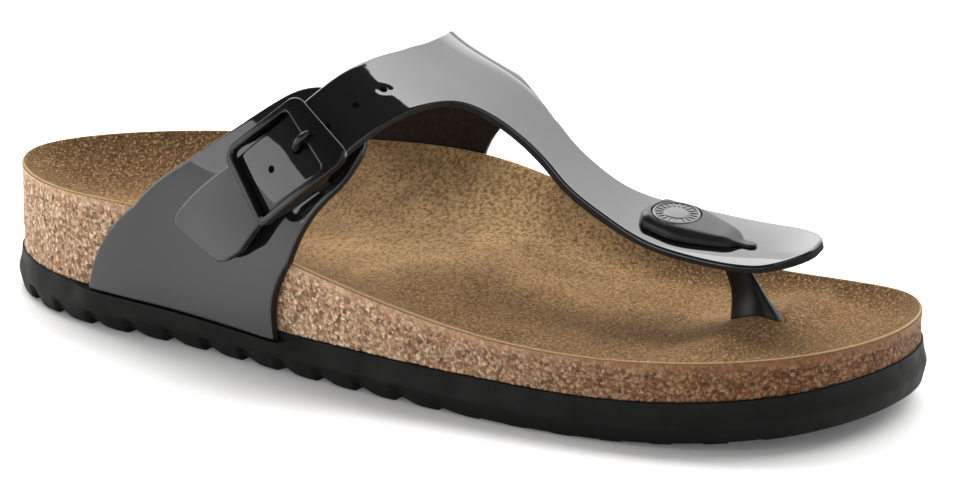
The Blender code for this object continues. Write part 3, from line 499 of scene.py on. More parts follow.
edges = add_node(tree, "ShaderNodeTexVoronoi", {"feature": "DISTANCE_TO_EDGE"}, {
    "Vector": bent.outputs["Vector"], "Scale": per_mm(0.95)})
own = add_node(tree, "ShaderNodeSeparateXYZ", inputs={"Vector": cells.outputs["Color"]})
speck = add_node(tree, "ShaderNodeTexNoise", inputs={
    "Vector": spot, "Scale": per_mm(0.8), "Detail": 4.0, "Roughness": 0.65})
tan = add_node(tree, "ShaderNodeMix", COLOUR_MIX, {
    MIX_SHARE: own.outputs["X"], MIX_FROM: linear("#b67d4e"), MIX_TO: linear("#ffe4c0")})
bark = add_node(tree, "ShaderNodeMapRange", inputs={
    "Value": own.outputs["Y"], "From Min": 0.86, "From Max": 0.92, "To Max": 0.75})
barked = add_node(tree, "ShaderNodeMix", COLOUR_MIX, {
    MIX_SHARE: bark.outputs["Result"], MIX_FROM: tan.outputs[MIX_COLOUR], MIX_TO: linear("#5f3f2a")})
pit = add_node(tree, "ShaderNodeMapRange", inputs={
    "Value": speck.outputs["Fac"], "From Min": 0.56, "From Max": 0.65, "To Max": 0.85})
pitted = add_node(tree, "ShaderNodeMix", COLOUR_MIX, {
    MIX_SHARE: pit.outputs["Result"], MIX_FROM: barked.outputs[MIX_COLOUR], MIX_TO: linear("#5e3d28")})
# Painted shade: darker where the grains meet, in the crevices of the bump.
seam_shade = add_node(tree, "ShaderNodeMapRange", inputs={
    "Value": edges.outputs["Distance"], "From Max": 0.14, "To Min": 0.45, "To Max": 0.0})
seam_shaded = add_node(tree, "ShaderNodeMix", COLOUR_MIX, {
    MIX_SHARE: seam_shade.outputs["Result"], MIX_FROM: pitted.outputs[MIX_COLOUR], MIX_TO: linear("#69462f")})
# Painted shade in the wall's pushed-in crevices, read from the crevice shade attribute.
grained = add_node(tree, "ShaderNodeMix", COLOUR_MIX, {
    MIX_SHARE: crevice_shade, MIX_FROM: seam_shaded.outputs[MIX_COLOUR], MIX_TO: linear("#5a3c28")})
banded = add_node(tree, "ShaderNodeMix", COLOUR_MIX, {
    MIX_SHARE: bare, MIX_FROM: linear("#b9926f"), MIX_TO: grained.outputs[MIX_COLOUR]})
# Painted shade: browner and darker towards the toe.
toe_shaded = add_node(tree, "ShaderNodeMix", COLOUR_MULTIPLY, {
    MIX_SHARE: toe_shade, MIX_FROM: banded.outputs[MIX_COLOUR], MIX_TO: linear("#a38c72")})
height = add_node(tree, "ShaderNodeMath", {"operation": "MULTIPLY_ADD"}, {
    0: edges.outputs["Distance"], 1: bare, 2: speck.outputs["Fac"]})
relief = add_node(tree, "ShaderNodeBump", inputs={
    "Height": height.outputs["Value"], "Strength": 0.9, "Distance": 0.5 * MILLIMETRE})
join(tree, shader, Base_Color=toe_shaded.outputs[MIX_COLOUR], Normal=relief.outputs["Normal"])

arc_steps = np.linalg.norm(np.roll(OUTLINE, -1, axis=0)[:, :2] - OUTLINE[:, :2], axis=1)
arcs = np.cumsum(arc_steps)
WALL_TABLE = Outline(np.column_stack([OUTLINE, NORMALS, arcs]))
shares = np.clip(crowded_shares(CORK_ROWS), END_ROW, 1 - END_ROW)
inset = offset_outline(-LINING_INSET, 0)
across, along = inset.grid(shares, crowded_shares(CORK_TOP_COLUMNS))
cork_top = np.stack([across, along, footbed_top(across, along)[0] - LINING_THICKNESS - GLUE], -1)
walls, bares, crevice_shades = {}, {}, {}
for side in (0, 1):
    edge_along = WALL_TABLE.along(shares)
    wall_columns = [WALL_TABLE.edge(edge_along, side, column)[:, None] for column in (0, 2, 3, 4, 5)]
    x, rim, normal_x, normal_y, arc = wall_columns
    y = edge_along[:, None]
    fall = np.linspace(0, 1, CORK_LEVELS)
    top = rim - LINING_THICKNESS - GLUE
    foot = OUTSOLE_HEIGHT + GLUE + spring(y)
    height = top + (foot - top) * fall
    nearest, second, tone = grain_cells(arc + 0 * height, height, GRAIN_SEED + side)
    open_share = 1 - np.clip((second - nearest) / CREVICE_WIDTH, 0, 1)
    fade = smooth_step((top - height) / PRESSED_BAND)
    depth = fade * (GRAIN_RELIEF * open_share ** CREVICE_CURVE + GRAIN_UNEVEN * tone)
    walls[side] = np.stack([x - normal_x * depth, y - normal_y * depth, height], -1)
    bares[side] = PRESSED_SHOW + (1 - PRESSED_SHOW) * fade
    # Painted shade, darkest in the crevices between the wall's grains.
    crevice_shades[side] = CREVICE_SHADE * fade * open_share ** 2
base_across, base_along = inset.grid(shares, np.array([1.0, 0.0]))
base = np.stack([base_across, base_along, OUTSOLE_HEIGHT + GLUE + spring(base_along)], -1)
plain = np.zeros((CORK_ROWS, CORK_TOP_COLUMNS)), np.zeros((CORK_ROWS, 2))
ring = np.concatenate([cork_top, walls[1], base, walls[0][:, ::-1]], axis=1)
cork = add_piece("cork_core", *loft(ring), [pressed_cork])
# Painted shade that grows towards the toe.
set_values(cork, "toe_shade", smooth_step((ring[..., 1] / FOOTBED_LENGTH - TOE_SHADE_START) / TOE_SHADE_REACH))
set_values(cork, "bare", np.concatenate([plain[0], bares[1], plain[1], bares[0][:, ::-1]], axis=1))
set_values(cork, "crevice_shade", np.concatenate([plain[0], crevice_shades[1], plain[1], crevice_shades[0][:, ::-1]], axis=1))
fit(cork, "cork_footbed")

# Footbed lining: one piece of tan suede, wet-formed over the cork and trimmed level with its rim.
# The nap is brushed about by hand, so it is mottled, and it is darkest where it stands up.
LINING_ROWS = 380
LINING_COLUMNS = 120
LINING_UNDER_COLUMNS = 26
LINING_ROUND = 0.8
TRIM_WIDTH = 0.35
TRIM_SHARE = 0.8
# Where the nap is pale, from wear at the heel, ball and toes and as painted light on the waist and arch in
# the band's shadow: name, across, along, half width across, half width along, share
PALE_WEAR_AND_LIGHT_SPOTS = [
    ("heel", 0.0, 40.0, 30.0, 30.0, 0.12),
    ("waist", -4.0, 114.0, 30.0, 24.0, 0.5),
    ("arch", -34.0, 122.0, 22.0, 36.0, 1.0),
    ("ball", 10.0, 168.0, 28.0, 18.0, 0.08),
    ("toes", -5.0, 200.0, 35.0, 10.0, 0.1),
]


def edge_drop(distance, radius):
    """How far a rounded edge lies below the face, at a distance in from the edge."""
    inside = 1 - np.clip(distance / radius, 0, 1)
    return radius * (1 - np.sqrt(1 - inside ** 2))


# Suede: napped tan leather, quite matt, with a soft sheen and cloudy strokes of darker nap.
# The nap and its paler fibres are drawn coarser than real, so that they show.
tan_suede, tree, shader = start_finish(
    "tan_suede", IOR=1.4, Specular_IOR_Level=0.12, Roughness=0.92, Sheen_Weight=0.25, Sheen_Roughness=0.55,
    Sheen_Tint=linear("#d9b98c"))
spot = add_node(tree, "ShaderNodeTexCoord").outputs["Object"]
strokes = add_node(tree, "ShaderNodeTexNoise", inputs={
    "Vector": spot, "Scale": per_mm(26.0), "Detail": 4.0, "Roughness": 0.6, "Distortion": 0.8})
nap = add_node(tree, "ShaderNodeTexNoise", inputs={
    "Vector": spot, "Scale": per_mm(1.0), "Detail": 5.0, "Roughness": 0.7})
fibre = add_node(tree, "ShaderNodeTexNoise", inputs={
    "Vector": spot, "Scale": per_mm(0.7), "Detail": 2.0})
rim_share = add_node(tree, "ShaderNodeAttribute", {"attribute_name": "rim"}).outputs["Fac"]
pale_share = add_node(tree, "ShaderNodeAttribute", {"attribute_name": "pale"}).outputs["Fac"]
# Pale spots: wear at the heel, ball and toes, and painted light on the waist and arch, which lie in the
# band's shadow.
worn_and_lit = add_node(tree, "ShaderNodeMix", COLOUR_MIX, {
    MIX_SHARE: pale_share, MIX_FROM: linear("#7a5b3b"), MIX_TO: linear("#f6d09a")})
stroke_share = add_node(tree, "ShaderNodeMapRange", inputs={
    "Value": strokes.outputs["Fac"], "From Min": 0.35, "From Max": 0.65, "To Min": 0.55, "To Max": 0.0})
cloudy = add_node(tree, "ShaderNodeMix", COLOUR_MIX, {
    MIX_SHARE: stroke_share.outputs["Result"], MIX_FROM: worn_and_lit.outputs[MIX_COLOUR],
    MIX_TO: linear("#543b23")})
rimmed = add_node(tree, "ShaderNodeMix", COLOUR_MIX, {
    MIX_SHARE: rim_share, MIX_FROM: cloudy.outputs[MIX_COLOUR], MIX_TO: linear("#5e452b")})
nap_share = add_node(tree, "ShaderNodeMapRange", inputs={
    "Value": nap.outputs["Fac"], "From Min": 0.44, "From Max": 0.60, "To Max": 0.9})
napped = add_node(tree, "ShaderNodeMix", COLOUR_MULTIPLY, {
    MIX_SHARE: nap_share.outputs["Result"], MIX_FROM: rimmed.outputs[MIX_COLOUR],
    MIX_TO: linear("#9a8468")})
fibre_share = add_node(tree, "ShaderNodeMapRange", inputs={
    "Value": fibre.outputs["Fac"], "From Min": 0.54, "From Max": 0.66, "To Max": 0.7})
bristled = add_node(tree, "ShaderNodeMix", COLOUR_MIX, {
    MIX_SHARE: fibre_share.outputs["Result"], MIX_FROM: napped.outputs[MIX_COLOUR],
    MIX_TO: linear("#b3926a")})
trim_share = add_node(tree, "ShaderNodeAttribute", {"attribute_name": "trim"}).outputs["Fac"]
trimmed = add_node(tree, "ShaderNodeMix", COLOUR_MIX, {
    MIX_SHARE: trim_share, MIX_FROM: bristled.outputs[MIX_COLOUR], MIX_TO: linear("#cdac80")})
relief = add_node(tree, "ShaderNodeBump", inputs={
    "Height": nap.outputs["Fac"], "Strength": 1.0, "Distance": 0.7 * MILLIMETRE})
join(tree, shader, Base_Color=trimmed.outputs[MIX_COLOUR], Normal=relief.outputs["Normal"])

shares = np.clip(crowded_shares(LINING_ROWS), END_ROW, 1 - END_ROW)
across, along = inset.grid(shares, crowded_shares(LINING_COLUMNS))
top, depth = footbed_top(across, along)
upper = np.stack([across, along, top - edge_drop(depth - LINING_INSET, LINING_ROUND)], -1)
under_across, under_along = inset.grid(shares, crowded_shares(LINING_UNDER_COLUMNS)[::-1])
under_top = footbed_top(under_across, under_along)[0]
under = np.stack([under_across, under_along, under_top - LINING_THICKNESS], -1)
lining = add_piece("suede_lining", *loft(np.concatenate([upper, under], axis=1)), [tan_suede])
# Pale spots of wear, and of painted light where the band's shadow falls.
pale_values = np.zeros_like(across)
for _, x, y, half_across, half_along, share in PALE_WEAR_AND_LIGHT_SPOTS:
    pale_values += share * soft_spot((across - x) / half_across, (along - y) / half_along)
rim_values = np.clip(1 - depth / bed_rim_width(along), 0, 1) * np.clip(1 - pale_values, 0, 1)
set_values(lining, "rim", np.concatenate([rim_values, np.ones_like(under_across)], axis=1))
set_values(lining, "pale", np.concatenate([pale_values, np.zeros_like(under_across)], axis=1))
trim_values = TRIM_SHARE * np.exp(-((depth - LINING_INSET) / TRIM_WIDTH) ** 2)
set_values(lining, "trim", np.concatenate([trim_values, np.zeros_like(under_across)], axis=1))
fit(lining, "footbed_lining")

# Lateral quarter: patent leather cut with a sharp knife, lasted over the sole's outer edge and cemented
# between cork and outsole. It runs up behind the buckle, whose bridge bar it holds.
INSTEP_HEIGHT = 77.0
RIM_GIRTH = 0.15
CREST_GIRTH = 0.5
LEATHER = 2.2
LEATHER_ROUND = 0.55
ALONG_STEP = 0.5
GIRTH_STEP = 0.002
LOOKUP_SAMPLES = 400
EDGE_STEPS = np.array([0.0, 0.05, 0.15, 0.30, 0.55, 0.9])
SEGMENT_BLOCK = 800
STATION_SHARES = (0.4, 0.6)
SHORTEST = 1e-9
QUARTER_ROWS_COUNT = 130
QUARTER_END_ROWS = 26
QUARTER_INNER_COLUMNS = 80

# Top line of the foot form: along, across, share of instep height
CREST_ROWS = np.array([
    (30.0, -1.0, 1.351),
    (60.0, -1.0, 1.312),
    (90.0, -1.0, 1.208),
    (110.0, 0.0, 1.097),
    (122.0, 0.0, 0.990),
    (140.0, -8.0, 0.851),
    (155.0, -13.0, 0.688),
    (170.0, -17.0, 0.561),
    (185.0, -19.0, 0.494),
    (200.0, -20.0, 0.462),
    (212.0, -20.0, 0.457),
    (222.0, -20.0, 0.470),
    (232.0, -20.0, 0.496),
    (252.0, -18.0, 0.500),
])
# Stations up the quarter: name, then along, girth and lift of the back edge, then of the front edge
QUARTER_ROWS = [
    ("sole", 43.6, 0.000, 0.0, 104.6, 0.000, 0.0),
    ("wall", 46.0, 0.053, 0.0, 104.0, 0.050, 0.0),
    ("rim", 54.5, 0.127, 0.0, 106.8, 0.115, 0.0),
    ("flank", 66.2, 0.176, 0.0, 112.8, 0.181, 0.0),
    ("waist", 80.2, 0.217, 0.0, 119.0, 0.230, 0.0),
    ("buckle", 93.3, 0.264, 0.0, 123.4, 0.265, 0.0),
    ("top", 104.2, 0.314, 0.0, 125.6, 0.303, 0.0),
    ("end", 110.0, 0.347, 0.0, 127.0, 0.337, 0.0),
]
# Rounded end of a strip: corner radius, and the share of the half width that it rounds off
QUARTER_END = (9.0, 0.75)
# Soft hollows and ridges: place along the strip, share across, half length, half width, height
QUARTER_RIPPLES = [
    (12.0, 0.35, 9.0, 0.30, 0.10),
    (26.0, 0.70, 10.0, 0.25, -0.12),
    (40.0, 0.30, 9.0, 0.28, 0.12),
]
crest_across = open_spline(CREST_ROWS[:, 0], CREST_ROWS[:, 1])
crest_share = open_spline(CREST_ROWS[:, 0], CREST_ROWS[:, 2])


def last_point(along, girth):
    """Point of the foot form: an upright wall to the rim, then quarter ellipses to the crest."""
    along, girth = np.asarray(along, float), np.asarray(girth, float)
    on_outer = girth < CREST_GIRTH
    turn = np.where(on_outer, girth, 1 - girth)
    base = np.where(on_outer, FOOTBED.edge(along, 1, 0) + GAP, FOOTBED.edge(along, 0, 0) - GAP)
    rim = np.where(on_outer, FOOTBED.edge(along, 1, 2), FOOTBED.edge(along, 0, 2))
    crest = INSTEP_HEIGHT * crest_share(along)
    angle = np.clip((turn - RIM_GIRTH) / (CREST_GIRTH - RIM_GIRTH), 0, 1) * math.pi / 2
    across = crest_across(along) + (base - crest_across(along)) * np.cos(angle)
    foot = OUTSOLE_HEIGHT + GAP - leather_foot(along, on_outer)[2]
    wall = foot + (rim - foot) * turn / RIM_GIRTH
    height = np.where(turn < RIM_GIRTH, wall, rim + (crest - rim) * np.sin(angle))
    return np.stack([across, along + 0 * across, height], -1)


def last_normal(along, girth):
    """Outward normal of the foot form."""
    along, girth = np.asarray(along, float), np.asarray(girth, float)
    low, high = np.maximum(girth - GIRTH_STEP, 0), np.minimum(girth + GIRTH_STEP, 1)
    forward = last_point(along + ALONG_STEP, girth) - last_point(along - ALONG_STEP, girth)
    around = last_point(along, high) - last_point(along, low)
    normal = np.cross(forward, around)
    return normal / np.linalg.norm(normal, axis=-1, keepdims=True)


def on_last(along, girth, offset):
    """Point off the foot form by an offset."""
    return last_point(along, girth) + last_normal(along, girth) * np.asarray(offset)[..., None]


class Strip:
    """A strip of leather on the foot form, read by its place along it and its share across it."""

    def __init__(self, rows, corners=()):
        self.names = [row[0] for row in rows]
        table = np.array([row[1:] for row in rows], float)
        middle = last_point((table[:, 0] + table[:, 3]) / 2, (table[:, 1] + table[:, 4]) / 2)
        self.places = np.r_[0, np.cumsum(np.linalg.norm(np.diff(middle, axis=0), axis=1))]
        self.length = self.places[-1]
        self.back = open_spline(self.places, table[:, :3])
        ends = [0] + [self.names.index(name) for name in corners] + [len(rows) - 1]
        self.corners = self.places[ends[1:-1]]
        self.fronts = []
        for first, last in zip(ends[:-1], ends[1:]):
            self.fronts.append(open_spline(self.places[first:last + 1], table[first:last + 1, 3:]))

    def place(self, name):
        """Place along the strip of a named station."""
        return self.places[self.names.index(name)]

    def at(self, place, share, narrow=1.0):
        """Along, girth and lift; narrow draws the edges in where an end is rounded."""
        place = np.asarray(place, float)
        back, front = self.back(place), self.fronts[0](place)
        for corner, curve in zip(self.corners, self.fronts[1:]):
            front = np.where(place[..., None] > corner, curve(place), front)
        share = 0.5 + (np.asarray(share) - 0.5) * narrow
        return [back[..., i] + (front[..., i] - back[..., i]) * share for i in range(3)]

    def point(self, place, share, offset=0.0):
        """Point of the strip's inner face, or off it by an offset."""
        along, girth, lift = self.at(np.asarray(place, float), share)
        return on_last(along, girth, lift + offset)

    def width(self, place):
        """Straight width of the strip at places along it."""
        return np.linalg.norm(self.point(place, 1.0) - self.point(place, 0.0), axis=-1)

    def place_at(self, along):
        """Place where the strip's middle line reaches a place along the foot."""
        places = np.linspace(0, self.length, LOOKUP_SAMPLES)
        return np.interp(along, self.at(places, 0.5)[0], places)

    def station(self, place):
        """Point on the middle line's inner face, with its forward, across and normal directions."""
        forward = self.point(place + ALONG_STEP, 0.5) - self.point(place - ALONG_STEP, 0.5)
        across = self.point(place, STATION_SHARES[1]) - self.point(place, STATION_SHARES[0])
        normal = np.cross(across, forward)
        normal *= np.sign(normal @ (self.point(place, 0.5, 1.0) - self.point(place, 0.5)))
        normal /= np.linalg.norm(normal)
        forward /= np.linalg.norm(forward)
        return self.point(place, 0.5), forward, np.cross(forward, normal), normal


def round_end(distance, end):
    """Share of the width that is left near a rounded end."""
    radius, share = end
    inside = 1 - np.clip(np.asarray(distance) / radius, 0, 1)
    return 1 - share + share * np.sqrt(1 - inside ** 2)


def end_places(length, end, count):
    """Places that crowd towards a rounded end at length."""
    return length - end[0] * (1 - np.sin(np.linspace(0, math.pi / 2, count + 1)[1:]))


def edge_shares(widths, inner_columns):
    """Shares across a strip for each row, close together at both cut edges."""
    near = EDGE_STEPS / np.asarray(widths)[:, None]
    middle = np.linspace(0, 1, inner_columns + 2)[1:-1]
    inside = near[:, -1:] + (1 - 2 * near[:, -1:]) * middle
    return np.hstack([near, inside, 1 - near[:, ::-1]])


def sheet_faces(rows, columns, first=0):
    """Four-sided faces of a sheet of points in rows."""
    corner = first + (np.arange(rows - 1)[:, None] * columns + np.arange(columns - 1)).ravel()
    return np.stack([corner, corner + 1, corner + columns + 1, corner + columns], -1).tolist()


def open_edges(faces):
    """Directed edges that only one face has."""
    edges = {(face[i - 1], face[i]) for face in faces for i in range(len(face))}
    return sorted(edge for edge in edges if edge[::-1] not in edges)


def edge_distance(points, faces):
    """Distance from each point of a sheet to its cut edge."""
    edges = np.array(open_edges(faces))
    start, reach = points[edges[:, 0]], points[edges[:, 1]] - points[edges[:, 0]]
    square = np.maximum((reach ** 2).sum(axis=1), SHORTEST)
    nearest = np.zeros(len(points))
    for first in range(0, len(points), SEGMENT_BLOCK):
        to_start = points[first:first + SEGMENT_BLOCK, None] - start
        share = np.clip((to_start * reach).sum(axis=2) / square, 0, 1)
        gap = np.linalg.norm(to_start - share[..., None] * reach, axis=2)
        nearest[first:first + SEGMENT_BLOCK] = gap.min(axis=1)
    return nearest


def ripple(place, share, rows):
    """Height of soft hollows and ridges at places on a strip."""
    total = np.zeros(np.broadcast(place, share).shape)
    for centre, middle, half_length, half_width, height in rows:
        total += height * soft_spot((place - centre) / half_length, (share - middle) / half_width)
    return total


# Places of the leather's finishes in a piece's list
GLOSS_FACE, CUT_EDGE, FLESH_SIDE = 0, 1, 2


def leather_piece(name, along, girth, lift, relief, faces, finishes):
    """A leather sheet of real thickness with a rounded top edge: gloss face, cut edge and flesh side."""
    inner = on_last(along, girth, lift)
    drop = edge_drop(edge_distance(inner, faces), LEATHER_ROUND)
    outer = on_last(along, girth, lift + LEATHER + relief - drop)
    count = len(inner)
    flesh = [[count + i for i in reversed(face)] for face in faces]
    walls = [[b, a, count + a, count + b] for a, b in open_edges(faces)]
    kinds = [GLOSS_FACE] * len(faces) + [FLESH_SIDE] * len(flesh) + [CUT_EDGE] * len(walls)
    return add_piece(name, np.vstack([outer, inner]), faces + flesh + walls, finishes, kinds)


# Patent leather: split leather under a clear lacquer, a black mirror with a faint orange peel.
patent_face, tree, shader = start_finish(
    "patent_leather", Base_Color=linear("#131314"), IOR=1.45, Roughness=0.05, Coat_Weight=0.35,
    Coat_Roughness=0.02)
fine_grain(tree, shader, size=3.2, detail=2.0, strength=0.25, depth=0.06)

# Cut edge: dyed fibres, dull black and slightly crumbly, with crumbs drawn coarser than real.
cut_edge, tree, shader = start_finish("cut_leather_edge", IOR=1.45, Specular_IOR_Level=0.3, Roughness=0.8)
crumb = fine_grain(tree, shader, size=0.8, detail=4.0, strength=0.7, depth=0.2)
tone = add_node(tree, "ShaderNodeMix", COLOUR_MIX, {
    MIX_SHARE: crumb, MIX_FROM: linear("#0c0c0c"), MIX_TO: linear("#2b2a29")})
join(tree, shader, Base_Color=tone.outputs[MIX_COLOUR])

# Flesh side: brushed, brown-black and matt, with fibres drawn coarser than real.
flesh_side, tree, shader = start_finish(
    "brushed_flesh_side", IOR=1.4, Specular_IOR_Level=0.15, Roughness=0.95)
brush = fine_grain(tree, shader, size=1.1, detail=4.0, strength=0.6, depth=0.2)
tone = add_node(tree, "ShaderNodeMix", COLOUR_MIX, {
    MIX_SHARE: brush, MIX_FROM: linear("#171210"), MIX_TO: linear("#3a302b")})
join(tree, shader, Base_Color=tone.outputs[MIX_COLOUR])
leather_finishes = [patent_face, cut_edge, flesh_side]

QUARTER = Strip(QUARTER_ROWS)
places = np.r_[
    np.linspace(0, QUARTER.length - QUARTER_END[0], QUARTER_ROWS_COUNT),
    end_places(QUARTER.length, QUARTER_END, QUARTER_END_ROWS),
]
narrow = round_end(QUARTER.length - places, QUARTER_END)
columns = edge_shares(QUARTER.width(places) * narrow, QUARTER_INNER_COLUMNS)
along, girth, lift = (a.ravel() for a in QUARTER.at(places[:, None], columns, narrow[:, None]))
waves = ripple(places[:, None], columns, QUARTER_RIPPLES).ravel()
quarter = leather_piece(
    "quarter_leather", along, girth, lift, waves, sheet_faces(*columns.shape), leather_finishes)
fit(quarter, "lateral_quarter")

# Upper strap: one T-shaped cut of the same leather. Its tongue goes through the buckle, the band crosses the
# instep and is lasted under at the inner side, and the toe strap runs down to the post.
HOLE_PITCH = 7.5
HOLE_STEPS = (-1, 1, 2, 3)
HOLE_RADIUS = 0.95
HOLE_SIDES = 28
HOLE_DIMPLE = 0.13
HOLE_DIMPLE_WIDTH = 0.75
PRONG_HOLE_RADIUS = 1.5
BUCKLE_LIFT = 4.5
BRIDGE_PLACE = 4.3
PUNCH_REACH = (-2.0, 14.0)
HOLE_SHADE_FLOOR = 0.5
SLOT_REACH = (-6.0, 9.0)
SLOT_CLEARANCE = 0.35
TONGUE_ROWS = 24
BAND_OUTER_ROWS = 190
BAND_INNER_ROWS = 130
BAND_INNER_COLUMNS = 34
TOE_STRAP_COLUMNS = 28
TOE_STRAP_STEPS = 110
TOE_END_STEPS = 34
TOE_NECK_WIDTH = 21.0
TOE_ROLL_DROP = 0.6
TOE_ROLL_SHARE = 0.32
TONGUE_END = (3.6, 0.34)
TOE_END = (13.0, 0.86)

# Stations of the band and the toe strap: name, then along, girth and lift of each edge, back then front
BAND_ROWS = [
    ("tongue_end", 72.6, 0.148, 2.4, 90.6, 0.109, 3.7),
    ("tongue", 82.0, 0.185, 2.9, 99.0, 0.153, 4.7),
    ("buckle_in", 93.4, 0.2225, BUCKLE_LIFT, 106.5, 0.193, BUCKLE_LIFT),
    ("buckle_out", 109.4, 0.3075, BUCKLE_LIFT, 122.7, 0.283, BUCKLE_LIFT),
    ("past_buckle", 113.0, 0.350, 3.0, 128.2, 0.341, 3.0),
    ("instep_outer", 116.2, 0.393, 1.1, 134.6, 0.405, 1.1),
    ("shoulder", 120.1, 0.445, 0.2, 141.4, 0.432, 0.2),
    ("armpit", 120.9, 0.462, 0.1, 147.0, 0.440, 0.1),
    ("root_outer", 121.6, 0.478, 0.0, 151.4, 0.443, 0.0),
    ("root_middle", 121.8, 0.505, 0.0, 150.3, 0.474, 0.0),
    ("root_inner", 121.1, 0.540, 0.0, 149.2, 0.505, 0.0),
    ("instep_inner", 119.4, 0.575, -0.2, 140.3, 0.547, -0.4),
    ("upper_inner", 117.0, 0.630, -2.4, 134.0, 0.612, -1.2),
    ("middle_inner", 106.5, 0.705, -3.0, 128.5, 0.700, -1.5),
    ("lower_inner", 89.0, 0.785, -1.5, 122.5, 0.785, -0.8),
    ("rim_inner", 76.0, 0.850, 0.0, 115.4, 0.850, 0.0),
    ("wall_inner", 67.5, 0.925, 0.0, 113.0, 0.925, 0.0),
    ("sole_inner", 62.0, 1.000, 0.0, 112.5, 1.000, 0.0),
]
TOE_STRAP_ROWS = [
    ("root", 151.4, 0.443, 0.0, 149.2, 0.505, 0.0),
    ("neck", 156.0, 0.441, 0.0, 154.6, 0.495, 0.0),
    ("slope", 162.5, 0.432, 0.0, 162.7, 0.488, 0.0),
    ("foot", 172.7, 0.424, 0.0, 171.5, 0.486, 0.0),
    ("flare", 181.0, 0.418, -0.2, 179.8, 0.492, 0.3),
    ("cap", 190.0, 0.413, -0.3, 188.5, 0.496, 1.2),
    ("post", 201.0, 0.412, -0.4, 199.6, 0.498, 1.9),
    ("front", 212.0, 0.413, -0.7, 210.8, 0.498, 2.2),
    ("tip", 228.6, 0.419, -0.7, 226.4, 0.496, 1.6),
]
BAND_RIPPLES = [
    (7.0, 0.52, 11.0, 0.45, 0.42),
    (9.0, 0.20, 3.5, 0.25, 0.06),
    (20.0, 0.75, 6.0, 0.30, -0.10),
    (41.0, 0.25, 5.0, 0.28, 0.14),
    (46.0, 0.75, 5.0, 0.26, -0.14),
    (53.0, 0.35, 6.0, 0.30, -0.10),
]
BAND = Strip(BAND_ROWS, ("root_outer", "root_inner"))
TOE_STRAP = Strip(TOE_STRAP_ROWS)
BUCKLE_PLACE = (BAND.place("buckle_in") + BAND.place("buckle_out")) / 2
HOLE_PLACES = [BUCKLE_PLACE + BRIDGE_PLACE + step * HOLE_PITCH for step in HOLE_STEPS]


def band_station(place):
    """Point on the foot form under the band's middle, with its forward, across and normal directions."""
    along, girth, _ = BAND.at(place + ALONG_STEP * np.array([-1, 0, 1]), 0.5)
    points = last_point(along, girth)
    normal = last_normal(along[1], girth[1])
    forward = points[2] - points[0]
    forward -= normal * (forward @ normal)
    forward /= np.linalg.norm(forward)
    return points[1], forward, np.cross(forward, normal), normal


def punch(place, radius, reach=PUNCH_REACH):
    """Round cutter into the band at a place along its middle line, between two heights."""
    point, forward, side, normal = band_station(place)
    turns = np.linspace(0, 2 * math.pi, HOLE_SIDES, endpoint=False)[:, None]
    ring = point + radius * (np.cos(turns) * forward + np.sin(turns) * side)
    return loft(np.stack([ring + normal * height for height in reach]))


def combine(piece, solids, operation, finish_index=0):
    """Cut solids from a piece or join them to it, and keep the result as its mesh."""
    for points, faces in solids:
        cutter = add_piece("cutter", points, faces, list(piece.data.materials), [finish_index] * len(faces))
        change = piece.modifiers.new("change", "BOOLEAN")
        change.operation = operation
        change.object = cutter
        shape = piece.evaluated_get(bpy.context.evaluated_depsgraph_get())
        finished = bpy.data.meshes.new_from_object(shape)
        piece.modifiers.remove(change)
        piece.data = finished
        bpy.data.objects.remove(cutter, do_unlink=True)
    piece.data.set_sharp_from_angle(angle=math.radians(SMOOTH_ANGLE))


def hole_dimples(place, share, widths):
    """Leather pressed in a little round each punched hole."""
    total = np.zeros(share.shape)
    for centre in HOLE_PLACES:
        reach = np.hypot(place - centre, (share - 0.5) * widths)
        total -= HOLE_DIMPLE * np.exp(-((reach - HOLE_RADIUS) / HOLE_DIMPLE_WIDTH) ** 2)
    return total


root = BAND.place("root_outer"), BAND.place("root_inner")
toe_shares = edge_shares([TOE_NECK_WIDTH], TOE_STRAP_COLUMNS)[0]
places = np.r_[
    BAND.length - end_places(BAND.length, TONGUE_END, TONGUE_ROWS)[::-1],
    np.linspace(TONGUE_END[0], root[0], BAND_OUTER_ROWS)[1:-1],
    root[0] + (root[1] - root[0]) * toe_shares,
    np.linspace(root[1], BAND.length, BAND_INNER_ROWS)[1:],
]
first_root = int(np.argmin(abs(places - root[0])))
narrow = round_end(places, TONGUE_END)
widths = BAND.width(places) * narrow
columns = edge_shares(widths, BAND_INNER_COLUMNS)
band = [a.ravel() for a in BAND.at(places[:, None], columns, narrow[:, None])]
band_relief = ripple(places[:, None], columns, BAND_RIPPLES)
band_relief += hole_dimples(places[:, None], columns, widths[:, None])
faces = sheet_faces(*columns.shape)

steps = np.r_[
    np.linspace(0, TOE_STRAP.length - TOE_END[0], TOE_STRAP_STEPS)[1:],
    end_places(TOE_STRAP.length, TOE_END, TOE_END_STEPS),
]
narrow = round_end(TOE_STRAP.length - steps, TOE_END)
toe = [a.ravel() for a in TOE_STRAP.at(steps[:, None], toe_shares, narrow[:, None])]
first_toe = columns.size
row_length = columns.shape[1]
root_points = [(first_root + i) * row_length + row_length - 1 for i in range(len(toe_shares))]
for i in range(len(toe_shares) - 1):
    faces.append([root_points[i], first_toe + i, first_toe + i + 1, root_points[i + 1]])
faces += [[a, d, c, b] for a, b, c, d in sheet_faces(len(steps), len(toe_shares), first_toe)]
along, girth, lift = (np.r_[b, t] for b, t in zip(band, toe))
